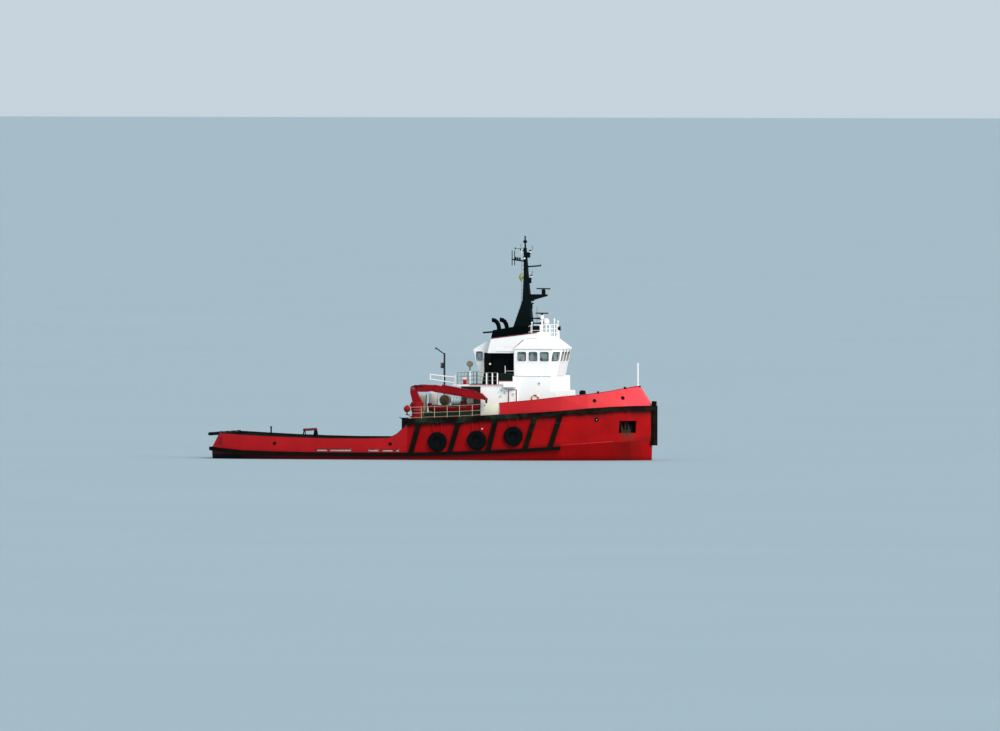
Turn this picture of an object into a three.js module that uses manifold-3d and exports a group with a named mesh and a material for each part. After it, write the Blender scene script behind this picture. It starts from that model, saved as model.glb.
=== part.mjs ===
// A deep-sea towing tug afloat, with its whole hull.
// +X is forward, +Y is port, +Z is up. The origin lies amidships on the waterline.
// Sizes below are in metres. Each finished mesh is scaled to millimetres.

import * as THREE from "three";
import { mergeVertices } from "three/addons/utils/BufferGeometryUtils.js";
import Module from "manifold-3d";

const wasm = await Module();
wasm.setup();

const MILLIMETRES = 1000;
const SEAT = 0.0003;
const RUNNING_GAP = 0.0005;

// Driving dimensions

const DRAUGHT = 4.0;
const HALF_BEAM = 4.95;
const BREAK_X = -1.4;
const PLATE = 0.12;

const DECKHOUSE = { aft: 4.4, front: 10.8, half: 3.45, top: 6.05, wall: 0.1 };
const DECKHOUSE_AFT = { aft: 2.4, half: 1.9 };
const DECKHOUSE_UPPER = { aft: 7.13, front: 10.35, top: 6.92 };
const DECKHOUSE_STEP = 5.7;
const BRIDGE_DECK = { aft: 2.4, half: 3.5, bottom: 6.05, top: 6.2 };

const WHEELHOUSE = { aft: 7.13, half: 2.95, facetHalf: 1.6, bottom: 6.92, eave: 9.13, wall: 0.09 };
const WHEELHOUSE_FRONT = { bottom: 10.4, eave: 10.84, facetRun: 0.5 };
const FACET_TURN = Math.atan2(WHEELHOUSE.half - WHEELHOUSE.facetHalf, WHEELHOUSE_FRONT.facetRun);
const WINDOW = { sill: 8.12, head: 8.88, width: 0.74, corner: 0.12 };
const CONNING = { half: 1.3, bottom: 6.2 };
const ROOF = { top: 10.13, half: 1.95, aft: 8.1, front: 9.8, noseHalf: 1.1, noseRun: 0.35 };
const CASING = { outer: 2.2, aft: 4.68, front: 8.9, panelBottom: 8.77 };
const CAP = { aft: 5.0, aftTop: 10.65, peak: 11.0, peakX: 7.2, front: 8.1, frontTop: 10.97, overhang: 0.04 };

// Pieces that stand on a deck start just below it, and the deck's own surface cuts them off.
const FOOTING = { mainDeck: 0.5, raisedDeck: 3.3, foredeck: 4.1 };
// Farther out than any part of the superstructure, for blocks that only cut.
const BEYOND = 12;

// Solid helpers

function toSolid(geometry) {
  const bare = geometry.clone();
  bare.deleteAttribute("normal");
  bare.deleteAttribute("uv");
  const merged = mergeVertices(bare, 1e-6);
  const corners = new Float32Array(merged.attributes.position.array);
  const faces = new Uint32Array(merged.index.array);
  const solid = solidFrom(corners, faces);
  return solid.volume() > 0 ? solid : solidFrom(corners, flipped(faces));
}

function solidFrom(vertProperties, triVerts) {
  return new wasm.Manifold(new wasm.Mesh({ numProp: 3, vertProperties, triVerts }));
}

function flipped(faces) {
  const turned = faces.slice();
  for (let i = 0; i < turned.length; i += 3) {
    [turned[i + 1], turned[i + 2]] = [turned[i + 2], turned[i + 1]];
  }
  return turned;
}

function toGeometry(solid) {
  const mesh = solid.getMesh();
  const geometry = new THREE.BufferGeometry();
  geometry.setAttribute("position", new THREE.BufferAttribute(new Float32Array(mesh.vertProperties), 3));
  geometry.setIndex(new THREE.BufferAttribute(new Uint32Array(mesh.triVerts), 1));
  return geometry;
}

function join(...solids) {
  return solids.flat().reduce((whole, next) => whole.add(next));
}

function box(x0, x1, y0, y1, z0, z1) {
  const geometry = new THREE.BoxGeometry(x1 - x0, y1 - y0, z1 - z0);
  geometry.translate((x0 + x1) / 2, (y0 + y1) / 2, (z0 + z1) / 2);
  return toSolid(geometry);
}

// An outline in the X-Z plane, extruded from y0 to y1.
function profileXZ(points, y0, y1) {
  const shape = new THREE.Shape(points.map(([x, z]) => new THREE.Vector2(x, z)));
  const geometry = new THREE.ExtrudeGeometry(shape, { depth: y1 - y0, bevelEnabled: false });
  geometry.rotateX(Math.PI / 2);
  geometry.translate(0, y1, 0);
  return toSolid(geometry);
}

function roundedRectangle(width, height, radius) {
  const shape = new THREE.Shape();
  const x = width / 2;
  const y = height / 2;
  shape.moveTo(-x + radius, -y);
  shape.lineTo(x - radius, -y);
  shape.absarc(x - radius, -y + radius, radius, -Math.PI / 2, 0);
  shape.lineTo(x, y - radius);
  shape.absarc(x - radius, y - radius, radius, 0, Math.PI / 2);
  shape.lineTo(-x + radius, y);
  shape.absarc(-x + radius, y - radius, radius, Math.PI / 2, Math.PI);
  shape.lineTo(-x, -y + radius);
  shape.absarc(-x + radius, -y + radius, radius, Math.PI, 1.5 * Math.PI);
  return shape;
}

// A round bar between two points.
function rod(from, to, radius, sides = 8) {
  const start = new THREE.Vector3(...from);
  const axis = new THREE.Vector3(...to).sub(start);
  const geometry = new THREE.CylinderGeometry(radius, radius, axis.length(), sides);
  const upright = new THREE.Vector3(0, 1, 0);
  geometry.applyQuaternion(new THREE.Quaternion().setFromUnitVectors(upright, axis.clone().normalize()));
  geometry.translate(...start.addScaledVector(axis, 0.5).toArray());
  return toSolid(geometry);
}

// A ring or drum from a closed outline of [radius, height] points, turned about +Z.
function turned(outline, segments) {
  const points = outline.map(([radius, height]) => new THREE.Vector2(radius, height));
  const geometry = new THREE.LatheGeometry(points, segments);
  geometry.rotateX(Math.PI / 2);
  return toSolid(geometry);
}

// A closed body through sections that each have the same number of corner points.
function loft(sections) {
  const count = sections[0].length;
  const positions = sections.flat(2);
  const index = [];
  for (let s = 0; s + 1 < sections.length; s += 1) {
    for (let k = 0; k < count; k += 1) {
      const a = s * count + k;
      const b = s * count + ((k + 1) % count);
      index.push(a, b, a + count, b, b + count, a + count);
    }
  }
  const last = (sections.length - 1) * count;
  for (let k = 1; k + 1 < count; k += 1) {
    index.push(0, k + 1, k);
    index.push(last, last + k, last + k + 1);
  }
  const geometry = new THREE.BufferGeometry();
  geometry.setAttribute("position", new THREE.BufferAttribute(new Float32Array(positions), 3));
  geometry.setIndex(index);
  return toSolid(geometry);
}

function mirrorY(solid) {
  return solid.mirror([0, 1, 0]);
}

// Reads a column of a table at x, on straight lines between its rows.
function readTable(rows, x, column) {
  if (x <= rows[0][0]) {
    return rows[0][column];
  }
  for (let i = 0; i + 1 < rows.length; i += 1) {
    const [low, high] = [rows[i], rows[i + 1]];
    if (x <= high[0]) {
      const t = (x - low[0]) / (high[0] - low[0]);
      return low[column] + t * (high[column] - low[column]);
    }
  }
  return rows[rows.length - 1][column];
}

// Cuts a piece to the surface it stands on, then lifts it clear by the seat gap.
function standOn(base, solid) {
  return solid.subtract(base).translate([0, 0, SEAT]);
}

// Outward directions, seen from above, along a path of [x, y] points on the starboard side.
function outwardNormals(path) {
  return path.map((point, i) => {
    const before = path[Math.max(i - 1, 0)];
    const after = path[Math.min(i + 1, path.length - 1)];
    const along = new THREE.Vector2(after[0] - before[0], after[1] - before[1]).normalize();
    return [along.y, -along.x];
  });
}

// Hull, by stations

// x, keel z, flat y, chine y, chine z, waterline y, deck edge y, deck edge z, top y, top z.
const STATION = { keel: 1, flat: 2, chineY: 3, chineZ: 4, waterY: 5, edgeY: 6, edgeZ: 7, topY: 8, topZ: 9 };
const STATIONS = [
  [-18.2, -0.60, 2.90, 3.50, -0.40, 3.70, 3.95, 1.00],
  [-17.2, -0.75, 3.20, 3.95, -0.50, 4.25, 4.50, 0.90],
  [-15.5, -0.85, 3.30, 4.20, -0.60, 4.55, 4.80, 0.74],
  [-13.0, -1.15, 3.20, 4.40, -0.95, 4.75, 4.90, 0.66],
  [-10.5, -2.50, 3.00, 4.60, -1.40, 4.85, 4.93, 0.62],
  [-8.0, -3.40, 3.00, 4.70, -1.90, 4.90, HALF_BEAM, 0.60],
  [-5.0, -3.95, 3.10, 4.80, -2.20, 4.92, HALF_BEAM, 0.60],
  [BREAK_X, -DRAUGHT, 3.20, 4.80, -2.40, 4.93, HALF_BEAM, 0.62, HALF_BEAM, 3.40],
  [3.0, -DRAUGHT, 3.10, 4.70, -2.40, 4.90, HALF_BEAM, 0.75, HALF_BEAM, 3.58],
  [6.4, -DRAUGHT, 2.60, 4.45, -2.40, 4.80, HALF_BEAM, 0.90, HALF_BEAM, 3.78],
  [9.0, -DRAUGHT, 1.90, 4.00, -2.30, 4.50, 4.83, 1.05, 4.83, 3.93],
  [11.4, -DRAUGHT, 1.00, 3.30, -2.20, 3.90, 4.50, 1.20, 4.50, 4.10],
  [13.6, -3.95, 0.40, 2.30, -2.10, 2.90, 3.85, 1.36, 3.95, 4.30],
  [15.4, -3.60, 0.15, 1.20, -2.00, 1.75, 2.85, 1.50, 3.20, 4.43],
  [16.6, -2.70, 0.08, 0.55, -1.60, 0.95, 1.85, 1.56, 2.45, 4.48],
  [17.3, -1.40, 0.04, 0.20, -0.90, 0.42, 1.00, 1.58, 1.60, 4.50],
  [18.05, -0.30, 0.02, 0.03, -0.20, 0.05, 0.25, 1.60, 0.60, 4.50],
];
const FORWARD_STATIONS = STATIONS.filter((row) => row.length > STATION.topZ);

const deckEdgeY = (x) => readTable(STATIONS, x, STATION.edgeY);
const deckEdgeZ = (x) => readTable(STATIONS, x, STATION.edgeZ);
const raisedDeckY = (x) => readTable(FORWARD_STATIONS, x, STATION.topY);
const raisedDeckZ = (x) => readTable(FORWARD_STATIONS, x, STATION.topZ);

// Half-breadth of the hull side at a height between the deck edge and the raised deck.
function hullSideY(x, z) {
  const t = (z - deckEdgeZ(x)) / (raisedDeckZ(x) - deckEdgeZ(x));
  return deckEdgeY(x) + t * (raisedDeckY(x) - deckEdgeY(x));
}

// A body lofted on the starboard side, from its top corner down to its keel, and mirrored.
function mirroredLoft(rows, corners) {
  const half = loft(rows.map((row) => {
    const outline = corners(row);
    const middle = [[0, outline.at(-1)[1]], [0, outline[0][1]]];
    return [...outline, ...middle].map(([y, z]) => [row[0], -y, z]);
  }));
  return join(half, mirrorY(half));
}

const SHAFT = { y: 2.2, z: -2.55, radius: 0.28, start: -9.0, end: -13.95 };
const STRUT = { aft: -13.5, front: -12.8, half: 0.08, top: -0.95 };
const NOZZLE = { x: -14.5, half: 0.75, inner: 1.2, outer: 1.4, segments: 24 };
const HEADBOX = { half: 0.35, reach: 0.55, top: -0.8, bottom: -1.5 };
const RUDDER = { stockX: -16.3, trunkRadius: 0.3, stockRadius: 0.14, trunkBottom: -1.2 };
const SKEG = { half: 0.16 };

function nozzleOuterFace(grow) {
  const radius = NOZZLE.outer + grow;
  const reach = NOZZLE.half + 0.1;
  return turned([[0, -reach], [radius, -reach], [radius, reach], [0, reach]], NOZZLE.segments)
    .rotate([0, 90, 0])
    .translate([NOZZLE.x, SHAFT.y, SHAFT.z]);
}

function lowerBody() {
  return mirroredLoft(STATIONS, (row) => [
    [row[STATION.edgeY], row[STATION.edgeZ]],
    [row[STATION.waterY], 0],
    [row[STATION.chineY], row[STATION.chineZ]],
    [row[STATION.flat], row[STATION.keel]],
  ]);
}

function upperBody(gap) {
  return mirroredLoft(FORWARD_STATIONS, (row) => [
    [row[STATION.topY], row[STATION.topZ]],
    [row[STATION.edgeY], row[STATION.edgeZ] + gap],
  ]);
}

function makeHull() {
  const skeg = profileXZ(
    [[-16.0, -0.5], [-15.4, -3.3], [-13.0, -3.9], [-6.0, -DRAUGHT], [-6.0, -3.0], [-12.0, -0.5]],
    -SKEG.half,
    SKEG.half,
  );
  const shaftTube = rod([SHAFT.start, SHAFT.y, SHAFT.z], [SHAFT.end, SHAFT.y, SHAFT.z], SHAFT.radius, 16);
  const strut = box(
    STRUT.aft, STRUT.front, SHAFT.y - STRUT.half, SHAFT.y + STRUT.half, SHAFT.z, STRUT.top,
  );
  const headbox = box(
    NOZZLE.x - HEADBOX.reach, NOZZLE.x + HEADBOX.reach,
    SHAFT.y - HEADBOX.half, SHAFT.y + HEADBOX.half,
    HEADBOX.bottom, HEADBOX.top,
  ).subtract(nozzleOuterFace(SEAT));
  const trunk = rod(
    [RUDDER.stockX, SHAFT.y, -0.5], [RUDDER.stockX, SHAFT.y, RUDDER.trunkBottom], RUDDER.trunkRadius, 16,
  );
  const portGear = join(shaftTube, strut, headbox, trunk);
  return join(lowerBody(), skeg, portGear, mirrorY(portGear));
}

// Raised foredeck, with the winch garage open aft

const GARAGE = { front: 3.6, half: 3.9, top: 2.95 };
const POCKET = { x: 16.45, y: 2.035, turn: 42, length: 1.65, depth: 0.5, bottom: 2.27, top: 3.27 };

// Places a solid made in the starboard anchor pocket's own axes: x along the side, -y outward.
function inPocket(solid) {
  return solid.rotate([0, 0, POCKET.turn]).translate([POCKET.x, -POCKET.y, 0]);
}

function makeForedeckBody() {
  const garage = box(BREAK_X - 1, GARAGE.front, -GARAGE.half, GARAGE.half, 0, GARAGE.top);
  const half = POCKET.length / 2;
  const pocket = inPocket(box(-half, half, -2, POCKET.depth, POCKET.bottom, POCKET.top));
  return upperBody(SEAT).subtract(garage).subtract(pocket).subtract(mirrorY(pocket));
}

const hull = makeHull();
const foredeck = makeForedeckBody();

// Both bodies with no seat between them, slightly grown, for cutting what lies against their sides.
const sidesGrown = join(lowerBody(), upperBody(0)).scale([1 + SEAT / 17, 1 + SEAT / 4.5, 1 + SEAT / 4]);

// Bulwarks

// x at the foot, then the rail's x, y and z.
const FORWARD_RAIL = [
  [6.4, 6.3, 4.80, 4.67],
  [9.0, 9.0, 4.62, 4.92],
  [11.4, 11.35, 4.25, 5.20],
  [13.6, 13.5, 3.60, 5.42],
  [15.4, 15.2, 2.75, 5.68],
  [16.6, 16.2, 1.95, 5.90],
  [17.3, 16.7, 1.15, 6.00],
  [18.05, 17.0, 0.45, 6.05],
];

// x, then the rail's z.
const AFT_RAIL = [
  [-17.2, 2.08],
  [-15.5, 1.98],
  [-13.0, 1.86],
  [-10.5, 1.78],
  [-8.0, 1.73],
  [-5.0, 1.73],
  [-2.9, 1.80],
  [-2.3, 2.09],
  [-1.85, 2.50],
  [BREAK_X - SEAT, 3.00],
];
const TRANSOM_RAIL = { x: -17.6, y: 3.75, z: 2.12 };
const FOOT = { inset: 0.03, dip: 0.05 };
const FREEING_PORTS = [[-9.16, -8.14], [-8.03, -6.1], [-4.78, -3.79], [-3.6, -2.58], [-2.43, -2.06]];
const FREEING_PORT = { bottom: 0.68, top: 0.86 };

// A leaning plate through [foot, rail] pairs of [x, y, z] points, going forward on the starboard side.
function bulwarkPlate(pairs) {
  const normals = outwardNormals(pairs.map(([foot]) => foot));
  return loft(pairs.map(([foot, rail], i) => {
    const [nx, ny] = normals[i];
    const outFoot = [foot[0] - nx * FOOT.inset, foot[1] - ny * FOOT.inset, foot[2] - FOOT.dip];
    const inFoot = [outFoot[0] - nx * PLATE, outFoot[1] - ny * PLATE, outFoot[2]];
    const inRail = [rail[0] - nx * PLATE, rail[1] - ny * PLATE, rail[2]];
    return [outFoot, rail, inRail, inFoot];
  }));
}

const JACKSTAFF = { x: 16.87, height: 1.9, lap: 0.3, radius: 0.06 };

function makeForwardBulwark() {
  const sidePairs = FORWARD_RAIL.map(([x, railX, railY, railZ]) => [
    [x, -raisedDeckY(x), raisedDeckZ(x)],
    [railX, -railY, railZ],
  ]);
  const [stemX, stemRailX, , railTop] = FORWARD_RAIL.at(-1);
  const centreline = [[stemX, 0, raisedDeckZ(stemX)], [stemRailX, 0, railTop]];
  const half = bulwarkPlate([...sidePairs, centreline]);
  const staffFoot = [JACKSTAFF.x, 0, railTop - JACKSTAFF.lap];
  const staffHead = [JACKSTAFF.x, 0, railTop + JACKSTAFF.height];
  const staff = rod(staffFoot, staffHead, JACKSTAFF.radius, 6);
  return join(standOn(foredeck, join(half, mirrorY(half))), staff);
}

function makeAftBulwark() {
  const corner = STATIONS[0];
  const transomFoot = [corner[0], -corner[STATION.edgeY], corner[STATION.edgeZ]];
  const transomRail = [TRANSOM_RAIL.x, -TRANSOM_RAIL.y, TRANSOM_RAIL.z];
  const sidePairs = AFT_RAIL.map(([x, railZ]) => [
    [x, -deckEdgeY(x), deckEdgeZ(x)],
    [x, -deckEdgeY(x), railZ],
  ]);
  const centreline = [[corner[0], 0, corner[STATION.edgeZ]], [TRANSOM_RAIL.x, 0, TRANSOM_RAIL.z]];
  const plate = bulwarkPlate([centreline, [transomFoot, transomRail], ...sidePairs]);
  const ports = FREEING_PORTS.map(([x0, x1]) => box(x0, x1, -6, 0, FREEING_PORT.bottom, FREEING_PORT.top));
  const half = plate.subtract(join(ports));
  return standOn(hull, join(half, mirrorY(half)));
}

// Rubbing fenders and tyres

const STRIP = { proud: 0.22, bite: 0.12, drop: 0.02 };
const UPPER_STRIP = { aftDepth: 0.5, foreDepth: 0.38, changeX: 6.4 };
const LOWER_STRIP = { front: 11.4, depth: 0.3 };
const DIAGONAL_WIDTH = 0.38;
// x at the upper strip, x at the lower strip.
const DIAGONALS = [[-0.31, -1.11], [3.04, 2.18], [6.15, 5.42], [9.44, 8.49], [11.49, 10.56]];
const BOW_FENDER = {
  bottom: 1.23, top: 4.48, back: 17.95, half: 0.3, shoulder: 18.34, front: 18.5, nose: 0.16,
};
const BOW_KNOB = { aft: 18.08, front: 18.42, half: 0.2, top: 4.86 };
const TYRE = { outer: 0.8, inner: 0.36, half: 0.15, shoulder: 0.06, segments: 14 };
// x, z of each tyre's centre.
const TYRES = [[1.17, 1.52], [4.49, 1.65], [7.57, 2.0]];

// A strip along a path of [x, y, top z, depth] rows, standing proud of it.
function rubbingStrip(path) {
  const normals = outwardNormals(path);
  return loft(path.map(([x, y, top, depth], i) => {
    const [nx, ny] = normals[i];
    const outer = [x + nx * STRIP.proud, y + ny * STRIP.proud];
    const inner = [x - nx * STRIP.bite, y - ny * STRIP.bite];
    return [[...outer, top - depth], [...outer, top], [...inner, top], [...inner, top - depth]];
  }));
}

function diagonalFender([topX, bottomX]) {
  const lift = STRIP.drop + LOWER_STRIP.depth / 2;
  const rows = [
    [bottomX, deckEdgeZ(bottomX) - lift],
    [topX, raisedDeckZ(topX) - lift],
  ];
  return loft(rows.map(([x, z]) => {
    const [aft, fore] = [x - DIAGONAL_WIDTH / 2, x + DIAGONAL_WIDTH / 2];
    const side = (edge) => hullSideY(edge, Math.max(z, deckEdgeZ(edge)));
    return [
      [aft, -side(aft) - STRIP.proud, z],
      [fore, -side(fore) - STRIP.proud, z],
      [fore, -side(fore) + STRIP.bite, z],
      [aft, -side(aft) + STRIP.bite, z],
    ];
  }));
}

function bowFenderBlock(grow) {
  const { bottom, top, back, half, shoulder, front, nose } = BOW_FENDER;
  const plan = [
    [back, -half - grow], [shoulder, -half - grow], [front + grow, -nose],
    [front + grow, nose], [shoulder, half + grow], [back, half + grow],
  ];
  return loft([bottom, top].map((z) => plan.map(([x, y]) => [x, y, z])));
}

function makeBowFender() {
  const knob = box(
    BOW_KNOB.aft, BOW_KNOB.front, -BOW_KNOB.half, BOW_KNOB.half, BOW_FENDER.top - 0.1, BOW_KNOB.top,
  );
  return join(bowFenderBlock(0), knob).subtract(sidesGrown);
}

function makeSideFender() {
  const upperRows = FORWARD_STATIONS.map((row) => [
    row[0],
    -row[STATION.topY],
    row[STATION.topZ] - STRIP.drop,
    row[0] < UPPER_STRIP.changeX ? UPPER_STRIP.aftDepth : UPPER_STRIP.foreDepth,
  ]);
  const [stemX, , stemTop, stemDepth] = upperRows.at(-1);
  const upper = rubbingStrip([...upperRows, [stemX, SEAT - BOW_FENDER.half, stemTop, stemDepth]]);
  const stern = STATIONS[0];
  const lowerRows = STATIONS.filter((row) => row[0] <= LOWER_STRIP.front);
  const lower = rubbingStrip([
    [stern[0], -SEAT, stern[STATION.edgeZ] - STRIP.drop, LOWER_STRIP.depth],
    ...lowerRows.map((row) => [
      row[0], -row[STATION.edgeY], row[STATION.edgeZ] - STRIP.drop, LOWER_STRIP.depth,
    ]),
  ]);
  return join(upper, lower, DIAGONALS.map(diagonalFender))
    .subtract(sidesGrown)
    .subtract(bowFenderBlock(SEAT));
}

function makeTyre([x, z]) {
  const { outer, inner, half, shoulder, segments } = TYRE;
  const ring = turned([
    [inner, -half], [outer - shoulder, -half], [outer, -half + shoulder], [outer, half - shoulder],
    [outer - shoulder, half], [inner, half], [inner, -half],
  ], segments);
  const reach = (outer - shoulder) * Math.cos(Math.PI / segments);
  const side = Math.max(deckEdgeY(x - reach), deckEdgeY(x));
  return ring.rotate([90, 0, 0]).translate([x, -(side + half + SEAT), z]);
}

// Nozzles, propellers and rudders, made for the port side

const PROPELLER = { radius: 1.15, hubRadius: 0.24, hubAft: -14.9, discX: -14.5, blades: 4, plate: 0.03 };
// radius, chord, pitch angle.
const BLADE_SECTIONS = [[0.16, 0.42, 62], [0.7, 0.66, 36], [1.14, 0.4, 24]];
const BLADE = { top: -1.33, bottom: -3.75, edge: -17.45, half: 0.15 };

function makeNozzle() {
  const { half, inner, outer, segments, x } = NOZZLE;
  const lip = 0.04;
  const ring = turned([
    [inner + 2 * lip, -half], [inner, -half / 3], [inner, half / 3], [inner + lip, half],
    [outer - lip, half], [outer, half / 2], [outer, -half + lip], [inner + 2 * lip, -half],
  ], segments);
  return ring.rotate([0, 90, 0]).translate([x, SHAFT.y, SHAFT.z]);
}

function makePropeller() {
  const blade = loft(BLADE_SECTIONS.map(([radius, chord, pitch]) => {
    const angle = THREE.MathUtils.degToRad(pitch);
    const [axial, around] = [Math.sin(angle), Math.cos(angle)];
    const corner = (along, across) => [
      along * axial * chord / 2 - across * around * PROPELLER.plate,
      along * around * chord / 2 + across * axial * PROPELLER.plate,
      radius,
    ];
    return [corner(-1, -1), corner(1, -1), corner(1, 1), corner(-1, 1)];
  }));
  const blades = Array.from({ length: PROPELLER.blades }, (_, k) => (
    blade.rotate([k * 360 / PROPELLER.blades, 0, 0])
  ));
  const hub = rod(
    [PROPELLER.hubAft - PROPELLER.discX, 0, 0],
    [SHAFT.end - RUNNING_GAP - PROPELLER.discX, 0, 0],
    PROPELLER.hubRadius,
    16,
  );
  return join(hub, blades).translate([PROPELLER.discX, SHAFT.y, SHAFT.z]);
}

function makeRudder() {
  const { stockX, stockRadius, trunkBottom } = RUDDER;
  const { top, bottom, edge, half } = BLADE;
  const plan = [
    [stockX + 0.5, 0], [stockX + 0.3, -half * 0.8], [stockX - 0.1, -half], [edge, -half / 4],
    [edge, half / 4], [stockX - 0.1, half], [stockX + 0.3, half * 0.8],
  ];
  const blade = loft([bottom, top].map((z) => plan.map(([x, y]) => [x, y, z])));
  const stock = rod([stockX, 0, top - 0.2], [stockX, 0, trunkBottom - RUNNING_GAP], stockRadius, 16);
  return join(blade, stock).translate([0, SHAFT.y, 0]);
}

// Anchors, towing winch and deck gear

const ANCHOR = { half: 0.45, crown: 0.24, flukeTop: 2.98, flukeWidth: 0.2, shankHalf: 0.07, shankTop: 3.1 };

function rectangleAt(x0, x1, y0, y1, z) {
  return [[x0, y0, z], [x1, y0, z], [x1, y1, z], [x0, y1, z]];
}

function makeAnchor() {
  const back = POCKET.depth - SEAT;
  const floor = POCKET.bottom + SEAT;
  const crown = box(-ANCHOR.half, ANCHOR.half, back - 0.28, back, floor, floor + ANCHOR.crown);
  const fluke = loft([
    rectangleAt(0.2, ANCHOR.half, back - 0.28, back, floor + 0.1),
    rectangleAt(0.26, 0.34, back - 0.1, back, ANCHOR.flukeTop),
  ]);
  const shank = box(
    -ANCHOR.shankHalf, ANCHOR.shankHalf, back - 0.2, back - 0.06, floor + 0.1, ANCHOR.shankTop,
  );
  return inPocket(join(crown, fluke, fluke.mirror([1, 0, 0]), shank));
}

const WINCH = { x: 1.2, z: 1.85, inside: 0.9, cheek: 0.15, foot: 1.0, head: 0.4, headZ: 2.2, bedTop: 0.9 };
const DRUM = { flange: 0.85, barrel: 0.52, rope: 0.6, flangePlate: 0.07, hub: 0.16 };

// A drum whose hubs reach the inner faces of its two cheeks, turned about Y.
function makeDrum({ x, z, inside, flange, barrel, flangePlate, hub, segments }) {
  const end = inside - RUNNING_GAP;
  const plate = end - 0.04;
  return turned([
    [0, -end], [hub, -end], [hub, -plate], [flange, -plate], [flange, -plate + flangePlate],
    [barrel, -plate + flangePlate], [barrel, plate - flangePlate], [flange, plate - flangePlate],
    [flange, plate], [hub, plate], [hub, end], [0, end],
  ], segments).rotate([90, 0, 0]).translate([x, 0, z]);
}

function makeWinchFrame() {
  const { x, z, inside, cheek, foot, head, headZ, bedTop } = WINCH;
  const low = FOOTING.mainDeck;
  const outline = [[x - foot, low], [x + foot, low], [x + head, headZ], [x - head, headZ]];
  const bed = box(x - foot, x + foot, -inside - cheek, inside + cheek, low, bedTop);
  const gearbox = box(x - 0.7, x + 0.7, inside + cheek - 0.01, inside + cheek + 0.65, low, 1.95);
  const motor = rod([x, -inside - cheek + 0.01, z], [x, -inside - cheek - 0.6, z], 0.32, 12);
  return standOn(hull, join(
    bed,
    profileXZ(outline, inside, inside + cheek),
    profileXZ(outline, -inside - cheek, -inside),
    gearbox,
    motor,
  ));
}

function makeWinchDrum() {
  return makeDrum({
    x: WINCH.x, z: WINCH.z + SEAT, inside: WINCH.inside, flange: DRUM.flange, barrel: DRUM.rope,
    flangePlate: DRUM.flangePlate, hub: DRUM.hub, segments: 18,
  });
}

const STERN_RAIL = {
  x: -18.55, half: 3.3, radius: 0.14, arms: [-3.0, -1.0, 1.0, 3.0], armHalf: 0.07, armDepth: 0.12, drop: 0.1,
};
const TOWING_BEAM = { x: -10.84, z: 2.38, half: 2.05, radius: 0.11, foot: 0.48 };

// A bar outside the transom, on arms that slope down to it from the rail.
function makeSternRail() {
  const { x, half, radius, arms, armHalf, armDepth, drop } = STERN_RAIL;
  const seatZ = TRANSOM_RAIL.z + 2 * SEAT;
  const barZ = seatZ - drop;
  const inner = TRANSOM_RAIL.x + PLATE - 0.01;
  const outline = [
    [x, barZ - armDepth / 2], [TRANSOM_RAIL.x - 0.02, seatZ], [inner, seatZ],
    [inner, seatZ + armDepth], [TRANSOM_RAIL.x - 0.1, seatZ + armDepth], [x, barZ + armDepth / 2],
  ];
  return join(
    rod([x, -half, barZ], [x, half, barZ], radius, 12),
    arms.map((y) => profileXZ(outline, y - armHalf, y + armHalf)),
  );
}

function makeTowingBeam() {
  const { x, z, half, radius, foot } = TOWING_BEAM;
  const low = FOOTING.mainDeck;
  const bar = rod([x, -half, z], [x, half, z], radius, 10);
  const plate = profileXZ(
    [[x - foot, low], [x + foot, low], [x + 0.1, z], [x - 0.1, z]], half - 0.16, half - 0.04,
  );
  const legY = -half + 0.1;
  const legs = [-foot, foot].map((reach) => rod([x + reach, legY, low], [x, legY, z], 0.05, 6));
  return standOn(hull, join(bar, plate, legs));
}

// Windlass on the foredeck, inside the bulwark

const WINDLASS = { x: 13.4, z: 5.0, inside: 0.5, cheek: 0.1, foot: 0.55, head: 0.22 };

function makeWindlassFrame() {
  const { x, z, inside, cheek, foot, head } = WINDLASS;
  const low = FOOTING.foredeck;
  const outline = [[x - foot, low], [x + foot, low], [x + head, z + 0.15], [x - head, z + 0.15]];
  return standOn(foredeck, join(
    box(x - foot, x + foot, -1.1, 1.1, low, 4.5),
    profileXZ(outline, inside, inside + cheek),
    profileXZ(outline, -inside - cheek, -inside),
    rod([x, inside + cheek - 0.01, z], [x, inside + cheek + 0.4, z], 0.2, 12),
    rod([x, -inside - cheek + 0.01, z], [x, -inside - cheek - 0.4, z], 0.2, 12),
  ));
}

function makeWindlassDrum() {
  return makeDrum({
    x: WINDLASS.x, z: WINDLASS.z + SEAT, inside: WINDLASS.inside, flange: 0.36, barrel: 0.2,
    flangePlate: 0.05, hub: 0.1, segments: 14,
  });
}

// Deckhouse, bridge deck and doors

const DOOR = {
  aft: 6.82, front: 7.5, bottom: 4.1, top: 5.8, plate: 0.05, proud: 0.008, lug: 0.03, overlap: 0.04,
};

function makeDeckhouse() {
  const { aft, half, top, wall } = DECKHOUSE;
  const blocks = [
    [DECKHOUSE_AFT.aft, aft + wall, DECKHOUSE_AFT.half, top],
    [aft, DECKHOUSE_UPPER.front, half, top],
    [DECKHOUSE_UPPER.aft, DECKHOUSE_UPPER.front, half, DECKHOUSE_UPPER.top],
    [aft, DECKHOUSE.front, half, DECKHOUSE_STEP],
  ];
  const low = FOOTING.raisedDeck;
  const outside = blocks.map(([x0, x1, y, z]) => box(x0, x1, -y, y, low, z));
  const inside = blocks.map(([x0, x1, y, z]) => (
    box(x0 + wall, x1 - wall, -y + wall, y - wall, low - wall, z - wall)
  ));
  const passageHalf = DECKHOUSE_AFT.half - wall;
  const passage = box(aft - wall, aft + 2 * wall, -passageHalf, passageHalf, low - wall, top - wall);
  const doorways = box(DOOR.aft, DOOR.front, -half - 1, half + 1, DOOR.bottom, DOOR.top);
  return standOn(foredeck, join(outside).subtract(join(inside, passage, doorways)));
}

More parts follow.
